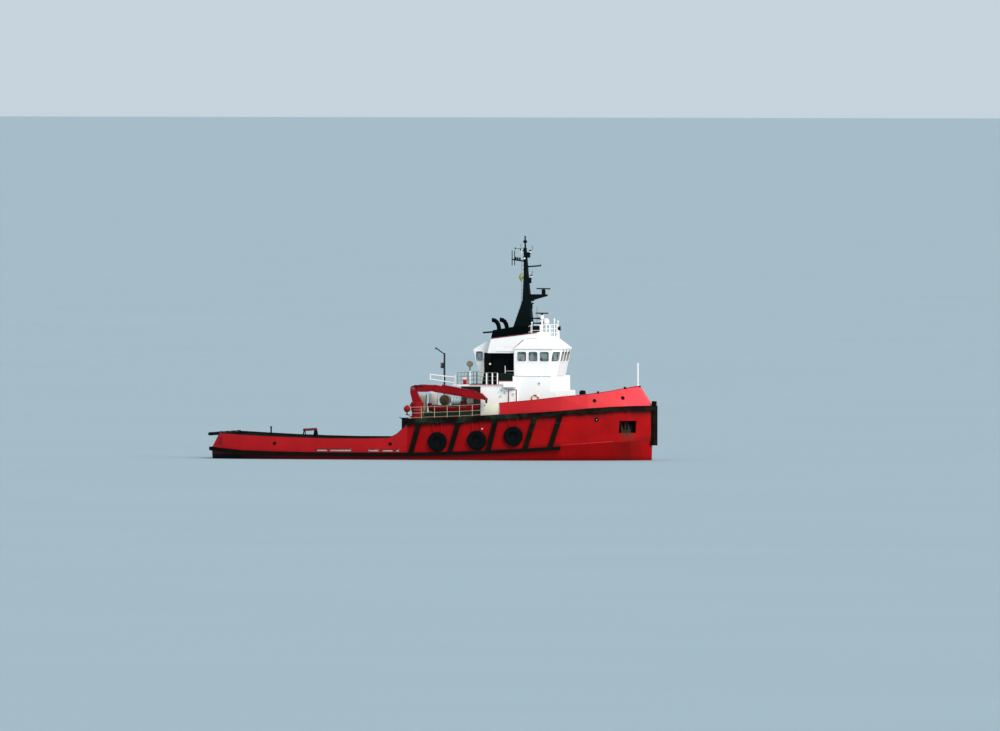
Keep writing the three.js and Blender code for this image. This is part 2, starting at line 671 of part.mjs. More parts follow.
const PLATFORM = { aft: 5.95, inner: 2.25, outer: 3.45, top: 7.1 };
const LAMP = { x: 3.41, y: -3.0, z: 7.88, radius: 0.24, half: 0.18 };
const DAVIT = { x: 2.2, y: -3.2, bracket: 0.16, radius: 0.06, head: 6.98 };

function makeBridgeDeck() {
  const { aft, half, bottom, top } = BRIDGE_DECK;
  const front = DECKHOUSE_UPPER.aft - SEAT;
  const slab = box(aft, front, -half, half, bottom + 2 * SEAT, top);
  const platform = box(PLATFORM.aft, front, PLATFORM.inner, PLATFORM.outer, top - 0.05, PLATFORM.top);
  const bracket = box(
    DAVIT.x - DAVIT.bracket, aft + 0.05, DAVIT.y - DAVIT.bracket, DAVIT.y + DAVIT.bracket, top - 0.1, top,
  );
  const { x, y, z } = LAMP;
  const lampPost = rod([x, y, top - 0.05], [x, y, z], 0.06, 8);
  const lamp = rod([x, y - LAMP.half, z], [x, y + LAMP.half, z], LAMP.radius, 14);
  return join(slab, platform, mirrorY(platform), bracket, lampPost, lamp);
}

// A plate door on the outside of a wall at y, with its hinge line at its aft edge.
function plateDoor({ aft, front, bottom, top }, wallY) {
  const { plate, proud, lug, overlap } = DOOR;
  const outer = -wallY - proud;
  const axisY = -wallY - lug - RUNNING_GAP;
  const leaf = box(
    aft - overlap + 2 * lug, front + overlap, outer - plate, outer, bottom - overlap, top + overlap,
  );
  const arms = [bottom + 0.2, top - 0.3].map((z) => join(
    rod([aft - overlap, axisY, z], [aft - overlap, axisY, z + 0.12], lug, 8),
    box(aft - overlap, aft + 3 * lug, outer - plate, outer - plate / 2, z, z + 0.12),
  ));
  return join(leaf, arms);
}

// Wheelhouse

// Plan of the wheelhouse with its two corner facets, pulled in by an inset.
function wheelhousePlan(front, z, inset) {
  const aft = WHEELHOUSE.aft + inset;
  const half = WHEELHOUSE.half - inset;
  const nose = front - inset;
  const facet = front - WHEELHOUSE_FRONT.facetRun - Math.tan(FACET_TURN / 2) * inset;
  const noseHalf = WHEELHOUSE.facetHalf - Math.tan(Math.PI / 4 - FACET_TURN / 2) * inset;
  return [
    [aft, -half, z], [facet, -half, z], [nose, -noseHalf, z],
    [nose, noseHalf, z], [facet, half, z], [aft, half, z],
  ];
}

function wheelhouseFrontX(z) {
  const t = (z - WHEELHOUSE.bottom) / (WHEELHOUSE.eave - WHEELHOUSE.bottom);
  return WHEELHOUSE_FRONT.bottom + t * (WHEELHOUSE_FRONT.eave - WHEELHOUSE_FRONT.bottom);
}

function wheelhouseBlock(zLow, zHigh, inset) {
  return loft([zLow, zHigh].map((z) => wheelhousePlan(wheelhouseFrontX(z), z, inset)));
}

const EAVE = { overhang: 0.08, band: 0.07 };

function makeRoof() {
  const base = WHEELHOUSE.eave + SEAT;
  const front = wheelhouseFrontX(WHEELHOUSE.eave);
  const { aft, half, noseHalf, top } = ROOF;
  const cornerX = ROOF.front - ROOF.noseRun;
  const crown = [
    [aft, -half], [cornerX, -half], [ROOF.front, -noseHalf],
    [ROOF.front, noseHalf], [cornerX, half], [aft, half],
  ].map(([x, y]) => [x, y, top]);
  const shell = loft([
    wheelhousePlan(front, base, -EAVE.overhang),
    wheelhousePlan(front, base + EAVE.band, -EAVE.overhang),
    crown,
  ]);
  return shell.subtract(box(0, WHEELHOUSE.aft - SEAT, -BEYOND, BEYOND, 0, BEYOND));
}

// The inside face of the raked aft wall, and the ceiling over it.
const CONNING_INSIDE = { footX: 3.88, footZ: 7.3, headZ: 8.96, rake: 0.283 };

const casingTop = (x) => 10.02 + (x - 5.1) * 0.126;

function makeConningBlock() {
  const base = CONNING.bottom + SEAT;
  return profileXZ([
    [3.95, base], [3.78, 7.3], [3.28, 9.06], [4.67, 9.88], [5.1, casingTop(5.1)],
    [CASING.front, casingTop(CASING.front)], [CASING.front, 10.0], [8.0, 10.0], [7.25, 9.2], [7.25, base],
  ], -CONNING.half, CONNING.half);
}

// Centres and widths of the window openings in each wall.
const SIDE_WINDOWS = { x: [7.76, 8.71, 9.66], width: WINDOW.width };
const FRONT_WINDOWS = { x: 10.7, y: [-1.04, 0, 1.04], width: 0.86 };
const CONNING_WINDOWS = { x: 3.4, y: [-0.58, 0.58], width: 0.86 };
const FACET_WINDOW = { y: (WHEELHOUSE.half + WHEELHOUSE.facetHalf) / 2, width: 1.1 };
const CONNING_SIDE = { x: 3.8, width: 0.56 };

function windowCutter(x, y, turn, width, reach) {
  const outline = roundedRectangle(width, WINDOW.head - WINDOW.sill, WINDOW.corner);
  const settings = { depth: 2 * reach, bevelEnabled: false, curveSegments: 2 };
  const geometry = new THREE.ExtrudeGeometry(outline, settings);
  geometry.translate(0, 0, -reach);
  geometry.rotateX(Math.PI / 2);
  geometry.rotateZ(THREE.MathUtils.degToRad(turn));
  geometry.translate(x, y, (WINDOW.head + WINDOW.sill) / 2);
  return toSolid(geometry);
}

const BRIDGE_DOOR = { aft: 2.28, front: 2.82, bottom: 7.2, top: 8.68 };

function makeWheelhouseWalls(roof) {
  const { bottom, eave, wall } = WHEELHOUSE;
  const room = wheelhouseBlock(bottom + 2 * SEAT, eave, 0);
  const roomInside = wheelhouseBlock(bottom - 0.1, eave + 0.1, wall);
  const { footX, footZ, headZ, rake } = CONNING_INSIDE;
  const conningInside = profileXZ(
    [[4.05, 5], [footX, footZ], [footX - (headZ - footZ) * rake, headZ], [7.4, headZ], [7.4, 5]],
    -CONNING.half + wall,
    CONNING.half - wall,
  );
  const deckBelow = box(WHEELHOUSE.aft - SEAT, BEYOND, -BEYOND, BEYOND, 0, bottom + SEAT);
  const facetX = wheelhouseFrontX((WINDOW.sill + WINDOW.head) / 2) - WHEELHOUSE_FRONT.facetRun / 2;
  const facetTurn = THREE.MathUtils.radToDeg(FACET_TURN);
  const acrossRoom = WHEELHOUSE.half + 1;
  const acrossConning = CONNING.half + 0.7;
  const throughWall = 0.5;
  const windows = [
    ...SIDE_WINDOWS.x.map((x) => windowCutter(x, 0, 0, SIDE_WINDOWS.width, acrossRoom)),
    ...FRONT_WINDOWS.y.map((y) => windowCutter(FRONT_WINDOWS.x, y, 90, FRONT_WINDOWS.width, throughWall)),
    ...CONNING_WINDOWS.y.map((y) => (
      windowCutter(CONNING_WINDOWS.x, y, 90, CONNING_WINDOWS.width, throughWall)
    )),
    windowCutter(CONNING_SIDE.x, 0, 0, CONNING_SIDE.width, acrossConning),
    windowCutter(facetX, -FACET_WINDOW.y, facetTurn, FACET_WINDOW.width, throughWall),
    windowCutter(facetX, FACET_WINDOW.y, -facetTurn, FACET_WINDOW.width, throughWall),
  ];
  const doorway = box(WHEELHOUSE.aft - 0.2, WHEELHOUSE.aft + 0.3, BRIDGE_DOOR.aft, BRIDGE_DOOR.front,
    BRIDGE_DOOR.bottom, BRIDGE_DOOR.top);
  const outside = join(room, makeConningBlock().subtract(deckBelow));
  const cuts = join(roomInside, conningInside, windows, doorway, mirrorY(doorway));
  return outside.subtract(cuts)
    .subtract(roof.translate([0, 0, SEAT]))
    .subtract(roof.translate([-SEAT, 0, 0]));
}

const GLASS = { plate: 0.012, above: 0.1 };

// One band of glass just inside the walls, behind every window.
function makeGlass() {
  const inset = WHEELHOUSE.wall + SEAT;
  const [low, high] = [WINDOW.sill - GLASS.above, Math.min(WINDOW.head + 0.06, 8.95)];
  const y = CONNING.half - inset;
  const aftFace = (z) => CONNING_INSIDE.footX - (z - CONNING_INSIDE.footZ) * CONNING_INSIDE.rake + 0.002;
  const conning = (cut) => profileXZ(
    [[aftFace(low) + cut, low], [aftFace(high) + cut, high], [7.4, high], [7.4, low]], -y + cut, y - cut,
  );
  const outer = join(wheelhouseBlock(low, high, inset), conning(0));
  const inner = join(
    wheelhouseBlock(low - 0.1, high + 0.1, inset + GLASS.plate),
    box(3.75, 7.5, -y + GLASS.plate, y - GLASS.plate, low - 0.1, high + 0.1),
    conning(GLASS.plate),
  );
  return outer.subtract(inner);
}

// Floor, steering console and helm chair, all carried by the floor plate.
function makeWheelhouseFittings() {
  const inset = WHEELHOUSE.wall + 0.002;
  const floorTop = WHEELHOUSE.bottom + 0.06;
  const floor = join(
    wheelhouseBlock(WHEELHOUSE.bottom + 3 * SEAT, floorTop, inset),
    box(3.98, 7.3, -CONNING.half + inset, CONNING.half - inset, WHEELHOUSE.bottom + 3 * SEAT, floorTop),
  );
  const console = profileXZ(
    [[9.35, floorTop - 0.01], [9.95, floorTop - 0.01], [10.0, 7.95], [9.75, 8.0], [9.3, 7.75]], -1.5, 1.5,
  );
  const chair = join(
    rod([8.55, 0, floorTop - 0.01], [8.55, 0, 7.45], 0.08, 8),
    box(8.3, 8.82, -0.27, 0.27, 7.4, 7.53),
    profileXZ([[8.2, 7.45], [8.34, 7.45], [8.24, 8.2], [8.12, 8.2]], -0.25, 0.25),
  );
  return join(floor, console, chair);
}

// Funnel casings and the black cap over them, made for the port side

function makeCasing(roof) {
  const inner = CONNING.half + SEAT;
  const base = BRIDGE_DECK.top + SEAT;
  const panel = profileXZ([
    [CASING.aft, CASING.panelBottom], [7.2, CASING.panelBottom], [7.2, 9.2], [8.0, 10.0],
    [CASING.front, 10.0],
    [CASING.front, casingTop(CASING.front)], [5.02, casingTop(5.02)],
  ], inner, CASING.outer);
  const pillar = profileXZ(
    [[4.24, base], [4.6, base], [5.0, 8.8], [4.68, 8.8]], CASING.outer - 0.12, CASING.outer,
  );
  const trunk = profileXZ([[4.75, base], [7.2, base], [7.2, 8.8], [5.1, 8.8]], inner, inner + 0.35);
  const room = wheelhouseBlock(5, WHEELHOUSE.eave + 0.01, -SEAT);
  return join(panel, pillar, trunk)
    .subtract(room)
    .subtract(box(DECKHOUSE_UPPER.aft - SEAT, BEYOND, -BEYOND, BEYOND, 0, WHEELHOUSE.bottom + SEAT))
    .subtract(roof.translate([0, 0, SEAT]))
    .subtract(roof.translate([-SEAT, 0, 0]));
}

const EXHAUST = { y: 1.41, x: 5.5, radius: 0.18, foot: 10.5, head: 11.48, outlet: 4.92 };

function exhaustPipe(y) {
  const { x, foot, head, outlet, radius } = EXHAUST;
  const path = new THREE.QuadraticBezierCurve3(
    new THREE.Vector3(x, y, foot),
    new THREE.Vector3(x, y, head),
    new THREE.Vector3(outlet, y, head),
  );
  const circle = new THREE.Shape().absarc(0, 0, radius, 0, 2 * Math.PI);
  return toSolid(new THREE.ExtrudeGeometry(circle, { steps: 6, curveSegments: 4, extrudePath: path }));
}

function makeFunnelCap() {
  const half = CASING.outer + CAP.overhang;
  const hood = profileXZ([
    [CAP.aft, casingTop(CAP.aft) + SEAT], [CAP.front, casingTop(CAP.front) + SEAT],
    [CAP.front, CAP.frontTop], [CAP.peakX, CAP.peak], [CAP.aft + 0.15, CAP.aftTop],
  ], -half, half);
  const spar = rod([3.8, 0, 10.42], [5.4, 0, 10.55], 0.07, 8);
  return join(hood, spar, exhaustPipe(-EXHAUST.y), exhaustPipe(EXHAUST.y));
}

// Mast and radars

// z, aft x, fore x, half width.
const MAST_SECTIONS = [
  [10.6, 6.35, 8.02, 0.5],
  [13.1, 7.19, 7.81, 0.3],
  [15.2, 7.26, 7.62, 0.2],
  [17.4, 7.24, 7.45, 0.12],
];
const MAST_POLE = { x: 7.34, top: 18.4, radius: 0.06 };
// Start x, end x, z at the start, z at the end.
const MAST_SPARS = [[7.4, 8.67, 15.85, 15.95], [7.4, 6.3, 16.3, 16.45], [7.4, 6.9, 17.2, 17.25]];
// Low z, high z of the lamp brackets on the fore side.
const LAMP_BRACKETS = [[12.4, 12.85], [14.5, 14.95], [16.6, 17.05]];
const RADAR_MAIN = { x: 8.9, y: 0, seatZ: 13.95, length: 1.8, turn: -35, depth: 0.16, height: 0.2 };
const RADAR_UPPER = { x: 9.1, y: -1.4, seatZ: 11.9, length: 1.3, turn: -20, depth: 0.14, height: 0.18 };

function makeMast(cap) {
  const trunk = loft(MAST_SECTIONS.map(([z, aft, fore, half]) => (
    [[aft, -half, z], [fore, -half, z], [fore, half, z], [aft, half, z]]
  )));
  const pole = rod([MAST_POLE.x, 0, 17.2], [MAST_POLE.x, 0, MAST_POLE.top], MAST_POLE.radius, 8);
  const radarArm = profileXZ(
    [[7.4, 12.9], [7.8, 13.05], [9.2, 13.45], [9.2, 13.6], [7.4, 13.6]], -0.25, 0.25,
  );
  const { x, y, seatZ } = RADAR_MAIN;
  const pedestal = rod([x, y, 13.5], [x, y, seatZ], 0.17, 12);
  const spars = MAST_SPARS.map(([x0, x1, z0, z1]) => rod([x0, 0, z0], [x1, 0, z1], 0.06, 6));
  const brackets = LAMP_BRACKETS.map(([low, high]) => (
    box(7.35, 7.98 - (low - 12) * 0.05, -0.12, 0.12, low, high)
  ));
  return standOn(cap, join(trunk, pole, radarArm, pedestal, spars, brackets));
}

// A scanner bar with rounded ends on a turning hub.
function makeScanner({ x, y, seatZ, length, turn, depth, height }) {
  const base = seatZ + SEAT + RUNNING_GAP;
  const hub = rod([0, 0, base], [0, 0, base + 0.12], 0.1, 12);
  const round = depth / 2;
  const reach = length / 2 - round;
  const [low, high] = [base + 0.1, base + 0.1 + height];
  const bar = box(-reach, reach, -round, round, low, high);
  const ends = [-reach, reach].map((end) => rod([end, 0, low], [end, 0, high], round, 10));
  return join(hub, bar, ends).rotate([0, 0, turn]).translate([x, y, 0]);
}

const DOME = { x: 9.0, y: 0.5, z: 11.35, radius: 0.28, postRadius: 0.07 };

// The satellite dome and the upper radar's stand are carried by the roof.
function makeRoofWithStands(roof) {
  const dome = new THREE.SphereGeometry(DOME.radius, 12, 8);
  dome.rotateX(Math.PI / 2);
  dome.translate(DOME.x, DOME.y, DOME.z);
  const post = rod([DOME.x, DOME.y, ROOF.top - 0.1], [DOME.x, DOME.y, DOME.z], DOME.postRadius, 8);
  const { x, y, seatZ } = RADAR_UPPER;
  const stand = rod([x, y, ROOF.top - 0.1], [x, y, seatZ - 0.25], 0.07, 8);
  const head = rod([x, y, seatZ - 0.3], [x, y, seatZ + SEAT], 0.16, 12);
  return join(roof, post, toSolid(dome), stand, head);
}

// Rails

const RAIL = { height: 1.0, post: 0.035, course: 0.025, courses: 3 };

// A straight run of rail between two feet, with evenly spaced posts.
function railRun(from, to, posts, height = RAIL.height) {
  const at = (t, rise) => [
    from[0] + t * (to[0] - from[0]), from[1] + t * (to[1] - from[1]), from[2] + t * (to[2] - from[2]) + rise,
  ];
  const dip = -0.05;
  const uprights = Array.from({ length: posts }, (_, i) => (
    rod(at(i / (posts - 1), dip), at(i / (posts - 1), height), RAIL.post, 4)
  ));
  const courses = Array.from({ length: RAIL.courses }, (_, i) => {
    const rise = height * (i + 1) / RAIL.courses - RAIL.course;
    return rod(at(0, rise), at(1, rise), RAIL.course, 4);
  });
  return join(uprights, courses);
}

const BOAT_RAIL = { aft: -1.16, front: 5.06, y: 4.82, posts: 7 };
const BREAK_RAIL = { x: -1.2, half: 2.9, posts: 6 };
const BRIDGE_RAIL = { aft: 2.47, front: 5.85, y: 3.43, posts: 5 };
const ROOF_RAIL = { aft: 9.05, front: 9.72, y: 1.85 };

function makeBoatRail() {
  const { aft, front, y, posts } = BOAT_RAIL;
  return standOn(foredeck, railRun([aft, y, raisedDeckZ(aft)], [front, y, raisedDeckZ(front)], posts));
}

function makeBreakRail() {
  const { x, half, posts } = BREAK_RAIL;
  return standOn(foredeck, railRun([x, -half, raisedDeckZ(x)], [x, half, raisedDeckZ(x)], posts));
}

function makeBridgeSideRail(bridgeDeck) {
  const { aft, front, y, posts } = BRIDGE_RAIL;
  return standOn(bridgeDeck, railRun([aft, y, BRIDGE_DECK.top], [front, y, BRIDGE_DECK.top], posts));
}

function makeBridgeAftRail(bridgeDeck) {
  const { aft, y } = BRIDGE_RAIL;
  const half = y - 0.15;
  return standOn(bridgeDeck, railRun([aft, -half, BRIDGE_DECK.top], [aft, half, BRIDGE_DECK.top], 6));
}

function makeRoofRail(roof) {
  const { aft, front, y } = ROOF_RAIL;
  const z = ROOF.top;
  return standOn(roof, join(
    railRun([aft, -y, z], [front, -1.3, z], 2),
    railRun([front, -1.3, z], [front, 1.3, z], 4),
    railRun([aft, y, z], [front, 1.3, z], 2),
  ));
}

// Knuckle-boom crane on the starboard side of the raised deck

const CRANE = {
  x: -0.8, y: -4.0, baseTop: 4.0, baseRadius: 0.45, housingRadius: 0.52, housingTop: 4.72,
  cheekInner: 0.13, cheekOuter: 0.2,
};
const LUFF_PIN = { x: -1.1, z: 5.85, radius: 0.24 };
const KNUCKLE_PIN = { x: 0.35, z: 5.9, radius: 0.27 };
const HOOK_PIN = { x: 5.03, z: 5.0, radius: 0.12, plate: 0.06, cheek: 0.04 };

// A disc about the Y axis through a pin.
function boss({ x, z, radius }, y0, y1) {
  return rod([x, y0, z], [x, y1, z], radius, 16);
}

function inCranePlane(points, half) {
  return profileXZ(points, CRANE.y - half, CRANE.y + half);
}

function forkCheeks(points, pin) {
  return [-1, 1].map((side) => {
    const [a, b] = [side * CRANE.cheekInner, side * CRANE.cheekOuter].sort((p, q) => p - q);
    return join(profileXZ(points, CRANE.y + a, CRANE.y + b), boss(pin, CRANE.y + a, CRANE.y + b));
  });
}

function makeCraneBase() {
  const { x, y, baseTop, baseRadius } = CRANE;
  return standOn(foredeck, join(
    rod([x, y, FOOTING.raisedDeck], [x, y, baseTop], baseRadius, 16),
    box(x - 0.5, x + 0.5, y - 0.5, y + 0.5, FOOTING.raisedDeck, 3.62),
  ));
}

function makeCraneColumn() {
  const { x, y, baseTop, housingRadius, housingTop } = CRANE;
  const housing = rod([x, y, baseTop + SEAT + RUNNING_GAP], [x, y, housingTop], housingRadius, 16);
  const postFoot = housingTop - 0.02;
  const post = inCranePlane([[-1.14, postFoot], [-0.36, postFoot], [-0.8, 5.56], [-1.36, 5.56]], 0.2);
  const cheeks = forkCheeks([[-1.36, 5.5], [-0.83, 5.5], [-0.87, 5.85], [-1.33, 5.85]], LUFF_PIN);
  return join(housing, post, cheeks);
}

function makeCraneBoom() {
  const inner = CRANE.cheekInner - RUNNING_GAP;
  const root = join(
    boss(LUFF_PIN, CRANE.y - inner, CRANE.y + inner),
    inCranePlane([[-1.1, 5.62], [-0.7, 5.62], [-0.7, 6.07], [-1.1, 6.08]], inner),
  );
  const body = inCranePlane([[-0.74, 5.58], [0.03, 5.58], [0.03, 6.18], [-0.74, 6.09]], CRANE.cheekOuter);
  const cheeks = forkCheeks([[-0.02, 5.58], [0.35, 5.64], [0.35, 6.16], [-0.02, 6.17]], KNUCKLE_PIN);
  return join(root, body, cheeks);
}

function makeCraneJib() {
  const inner = CRANE.cheekInner - RUNNING_GAP;
  const root = join(
    boss(KNUCKLE_PIN, CRANE.y - inner, CRANE.y + inner),
    inCranePlane([[0.35, 5.65], [0.72, 5.6], [0.72, 6.15], [0.35, 6.16]], inner),
  );
  const body = inCranePlane([
    [0.67, 5.56], [1.2, 5.5], [2.4, 5.29], [4.5, 4.98], [4.85, 5.02], [4.72, 5.47], [1.1, 6.1], [0.67, 6.18],
  ], 0.18);
  const beak = join(
    boss(HOOK_PIN, CRANE.y - HOOK_PIN.plate, CRANE.y + HOOK_PIN.plate),
    inCranePlane([[4.6, 5.0], [5.03, 4.9], [5.1, 5.1], [4.75, 5.4]], HOOK_PIN.plate),
  );
  const ram = rod([1.3, CRANE.y, 6.11], [4.2, CRANE.y, 5.6], 0.07, 8);
  return join(root, body, beak, ram);
}

function makeCraneHook() {
  const { x, z, radius, plate, cheek } = HOOK_PIN;
  const [near, far] = [plate + RUNNING_GAP, plate + RUNNING_GAP + cheek];
  const block = [z - 0.36, z - 0.2];
  const sides = [[near, far], [-far, -near]].map(([y0, y1]) => join(
    boss({ x, z, radius: radius - 0.03 }, CRANE.y + y0, CRANE.y + y1),
    box(x - 0.07, x + 0.07, CRANE.y + y0, CRANE.y + y1, block[0], z),
  ));
  const body = box(x - 0.07, x + 0.07, CRANE.y - far, CRANE.y + far, block[0], block[1]);
  const bend = join(
    box(x - 0.04, x + 0.04, CRANE.y - 0.03, CRANE.y + 0.03, z - 0.5, block[0] + 0.01),
    box(x - 0.14, x + 0.04, CRANE.y - 0.03, CRANE.y + 0.03, z - 0.56, z - 0.48),
    box(x - 0.14, x - 0.08, CRANE.y - 0.03, CRANE.y + 0.03, z - 0.5, z - 0.42),
  );
  return join(sides, body, bend);
}

// Gear on the raised deck

const BOAT_Y = -3.7;
// x, half width, keel z, gunwale z.
const BOAT_SECTIONS = [
  [0.2, 0.55, 4.02, 4.46],
  [0.6, 0.72, 3.92, 4.45],
  [2.8, 0.74, 3.9, 4.46],
  [3.8, 0.5, 4.0, 4.5],
  [4.3, 0.1, 4.22, 4.58],
];

function boatHull() {
  return loft(BOAT_SECTIONS.map(([x, half, keel, gunwale]) => {
    const side = (keel + gunwale) / 2;
    return [
      [x, BOAT_Y - half * 0.85, gunwale], [x, BOAT_Y - half, side], [x, BOAT_Y - half * 0.5, keel],
      [x, BOAT_Y + half * 0.5, keel], [x, BOAT_Y + half, side], [x, BOAT_Y + half * 0.85, gunwale],
    ];
  })).translate([0, 0, 2 * SEAT]);
}

function makeRescueBoat() {
  const cockpit = box(0.7, 3.3, BOAT_Y - 0.4, BOAT_Y + 0.4, 4.15, 5);
  const console = box(2.85, 3.2, BOAT_Y - 0.28, BOAT_Y + 0.28, 4.1, 4.92);
  const engine = box(0.0, 0.35, BOAT_Y - 0.16, BOAT_Y + 0.16, 4.1, 4.85);
  return join(boatHull().subtract(cockpit), console, engine);
}

function makeBoatCradle() {
  const low = FOOTING.raisedDeck;
  const chocks = [0.95, 2.9].map((x) => box(x, x + 0.15, BOAT_Y - 0.6, BOAT_Y + 0.6, low, 4.12));
  const runners = [-0.45, 0.35].map((dy) => box(0.95, 3.05, BOAT_Y + dy, BOAT_Y + dy + 0.1, low, 3.74));
  return standOn(foredeck, join(chocks, runners).subtract(boatHull().translate([0, 0, -2 * SEAT])));
}

const REEL = { x: 1.18, y: -2.4, z: 4.9, radius: 0.47, barrel: 0.4, inside: 0.26, cheek: 0.05 };
const RAFT = { x0: 1.75, x1: 2.62, y: -2.4, z: 4.78, radius: 0.34 };
const VENT = { x: 0.18, radius: 0.38, top: 5.45 };
const DECK_POLE = { x: 0.92, y: -1.6, top: 8.75, radius: 0.08 };

// One low bed carries the vent trunk, the reel's cheeks, the raft's post and the lamp pole.
function makeDeckGear() {
  const { x, y, inside, cheek } = REEL;
  const plate = [[x - 0.3, 3.8], [x + 0.3, 3.8], [x + 0.1, 5.02], [x - 0.1, 5.02]];
  const low = FOOTING.raisedDeck;
  const bed = box(0, 2.7, y - inside - cheek, y + inside + cheek, low, 3.9);
  const poleFoot = box(DECK_POLE.x - 0.15, DECK_POLE.x + 0.15, y, DECK_POLE.y + 0.15, low, 3.66);
  const cheeks = [
    profileXZ(plate, y + inside, y + inside + cheek),
    profileXZ(plate, y - inside - cheek, y - inside),
  ];
  const raftPost = box(1.9, 2.45, y - 0.2, y + 0.2, 3.8, RAFT.z - 0.2);
  const raft = rod([RAFT.x0, RAFT.y, RAFT.z], [RAFT.x1, RAFT.y, RAFT.z], RAFT.radius, 14);
  const vent = rod([VENT.x, y, low], [VENT.x, y, VENT.top], VENT.radius, 16);
  const { x: poleX, y: poleY, top, radius } = DECK_POLE;
  const pole = join(
    rod([poleX, poleY, low], [poleX, poleY, top], radius, 8),
    rod([poleX, poleY, top - 0.1], [poleX - 0.75, poleY, top + 0.45], radius * 0.6, 6),
    box(poleX - 0.3, poleX - 0.05, poleY - 0.12, poleY + 0.12, 7.5, 7.95),
  );
  return standOn(foredeck, join(bed, poleFoot, cheeks, raftPost, raft, vent, pole));
}

function makeReel() {
  return makeDrum({
    x: REEL.x, z: REEL.z + SEAT, inside: REEL.inside, flange: REEL.radius, barrel: REEL.barrel,
    flangePlate: 0.03, hub: 0.08, segments: 16,
  }).translate([0, REEL.y, 0]);
}

function makeDavit() {
  const { x, y, radius, head } = DAVIT;
  const foot = BRIDGE_DECK.top + RUNNING_GAP;
  const tip = [x - 2.1, y];
  return join(
    rod([x, y, foot], [x, y, head], radius, 8),
    rod([x, y, 6.78], [...tip, 7.0], 0.045, 6),
    rod([x, y, 6.3], [...tip, 6.62], 0.045, 6),
    rod([...tip, 6.56], [...tip, 7.06], 0.045, 6),
    rod([x - 1.0, y, 6.46], [x - 1.0, y, 6.9], 0.035, 6),
  );
}

// Assembly

// colour, roughness, metalness.
const FINISHES = {
  hullRed: [0xb81822, 0.55, 0.0],
  bulwarkRed: [0xd42a33, 0.5, 0.0],
  white: [0xf2f1ec, 0.45, 0.0],
  black: [0x15201e, 0.6, 0.1],
  green: [0x1c3a2a, 0.6, 0.1],
  rubber: [0x161a1a, 0.85, 0.0],
  steel: [0x7b7f80, 0.5, 0.6],
  bronze: [0xa07c3c, 0.35, 0.9],
  craneRed: [0xa8121c, 0.45, 0.1],
  boatRed: [0x7c1a1e, 0.6, 0.0],
  glass: [0x2f4046, 0.1, 0.0],
  fittings: [0x4a4d50, 0.6, 0.0],
  rope: [0x6b5a3c, 0.9, 0.0],
};

const assembly = new THREE.Group();

function addPiece(name, solid, finish) {
  const [color, roughness, metalness] = FINISHES[finish];
  const geometry = toGeometry(solid);
  geometry.scale(MILLIMETRES, MILLIMETRES, MILLIMETRES);
  geometry.computeVertexNormals();
  const mesh = new THREE.Mesh(geometry, new THREE.MeshStandardMaterial({ color, roughness, metalness }));
  mesh.name = name;
  assembly.add(mesh);
}

// Adds a port-side solid, and its mirror image to starboard.
function addPair(name, portSolid, finish) {
  addPiece(`${name}_port`, portSolid, finish);
  addPiece(`${name}_starboard`, mirrorY(portSolid), finish);
}

addPiece("hull", hull, "hullRed");
addPiece("raised_foredeck", foredeck, "hullRed");
addPiece("bulwark_forward", makeForwardBulwark(), "bulwarkRed");
addPiece("bulwark_aft", makeAftBulwark(), "hullRed");
addPiece("fender_bow", makeBowFender(), "rubber");
addPair("fender", mirrorY(makeSideFender()), "rubber");
TYRES.forEach((tyre, i) => addPair(`tyre_${i + 1}`, mirrorY(makeTyre(tyre)), "rubber"));
addPair("anchor", mirrorY(makeAnchor()), "steel");

addPair("nozzle", makeNozzle(), "hullRed");
addPair("propeller", makePropeller(), "bronze");
addPair("rudder", makeRudder(), "hullRed");

addPiece("winch_frame", makeWinchFrame(), "green");
addPiece("winch_drum", makeWinchDrum(), "green");
addPiece("windlass_frame", makeWindlassFrame(), "green");
addPiece("windlass_drum", makeWindlassDrum(), "steel");
addPiece("stern_rail", makeSternRail(), "black");
addPiece("towing_beam", makeTowingBeam(), "craneRed");

const bridgeDeck = makeBridgeDeck();
addPiece("deckhouse", makeDeckhouse(), "white");
addPiece("bridge_deck", bridgeDeck, "white");
addPair("deckhouse_door", mirrorY(plateDoor(DOOR, DECKHOUSE.half)), "white");

const roof = makeRoof();
const roofWithStands = makeRoofWithStands(roof);
addPiece("wheelhouse_walls", makeWheelhouseWalls(roof), "white");
addPiece("wheelhouse_roof", roofWithStands, "white");
addPiece("wheelhouse_glass", makeGlass(), "glass");
addPiece("wheelhouse_fittings", makeWheelhouseFittings(), "fittings");
const bridgeDoor = plateDoor(BRIDGE_DOOR, 0).rotate([0, 0, -90]).translate([WHEELHOUSE.aft, 0, 0]);
addPair("wheelhouse_door", mirrorY(bridgeDoor), "white");

const cap = makeFunnelCap();
addPair("casing", makeCasing(roof), "white");
addPiece("funnel_cap", cap, "black");
addPiece("mast", makeMast(cap), "black");
addPiece("radar_main", makeScanner(RADAR_MAIN), "black");
addPiece("radar_upper", makeScanner(RADAR_UPPER), "white");

addPair("boat_deck_rail", makeBoatRail(), "white");
addPiece("break_rail", makeBreakRail(), "white");
addPair("bridge_rail", makeBridgeSideRail(bridgeDeck), "white");
addPiece("bridge_rail_aft", makeBridgeAftRail(bridgeDeck), "white");
addPiece("roof_rail", makeRoofRail(roofWithStands), "white");

addPiece("crane_base", makeCraneBase(), "craneRed");
addPiece("crane_column", makeCraneColumn(), "craneRed");
addPiece("crane_boom", makeCraneBoom(), "craneRed");
addPiece("crane_jib", makeCraneJib(), "craneRed");
addPiece("crane_hook", makeCraneHook(), "steel");
addPiece("rescue_boat", makeRescueBoat(), "boatRed");
addPiece("boat_cradle", makeBoatCradle(), "green");
addPiece("deck_gear", makeDeckGear(), "white");
addPiece("rope_reel", makeReel(), "rope");
addPiece("davit", makeDavit(), "white");

export default assembly;
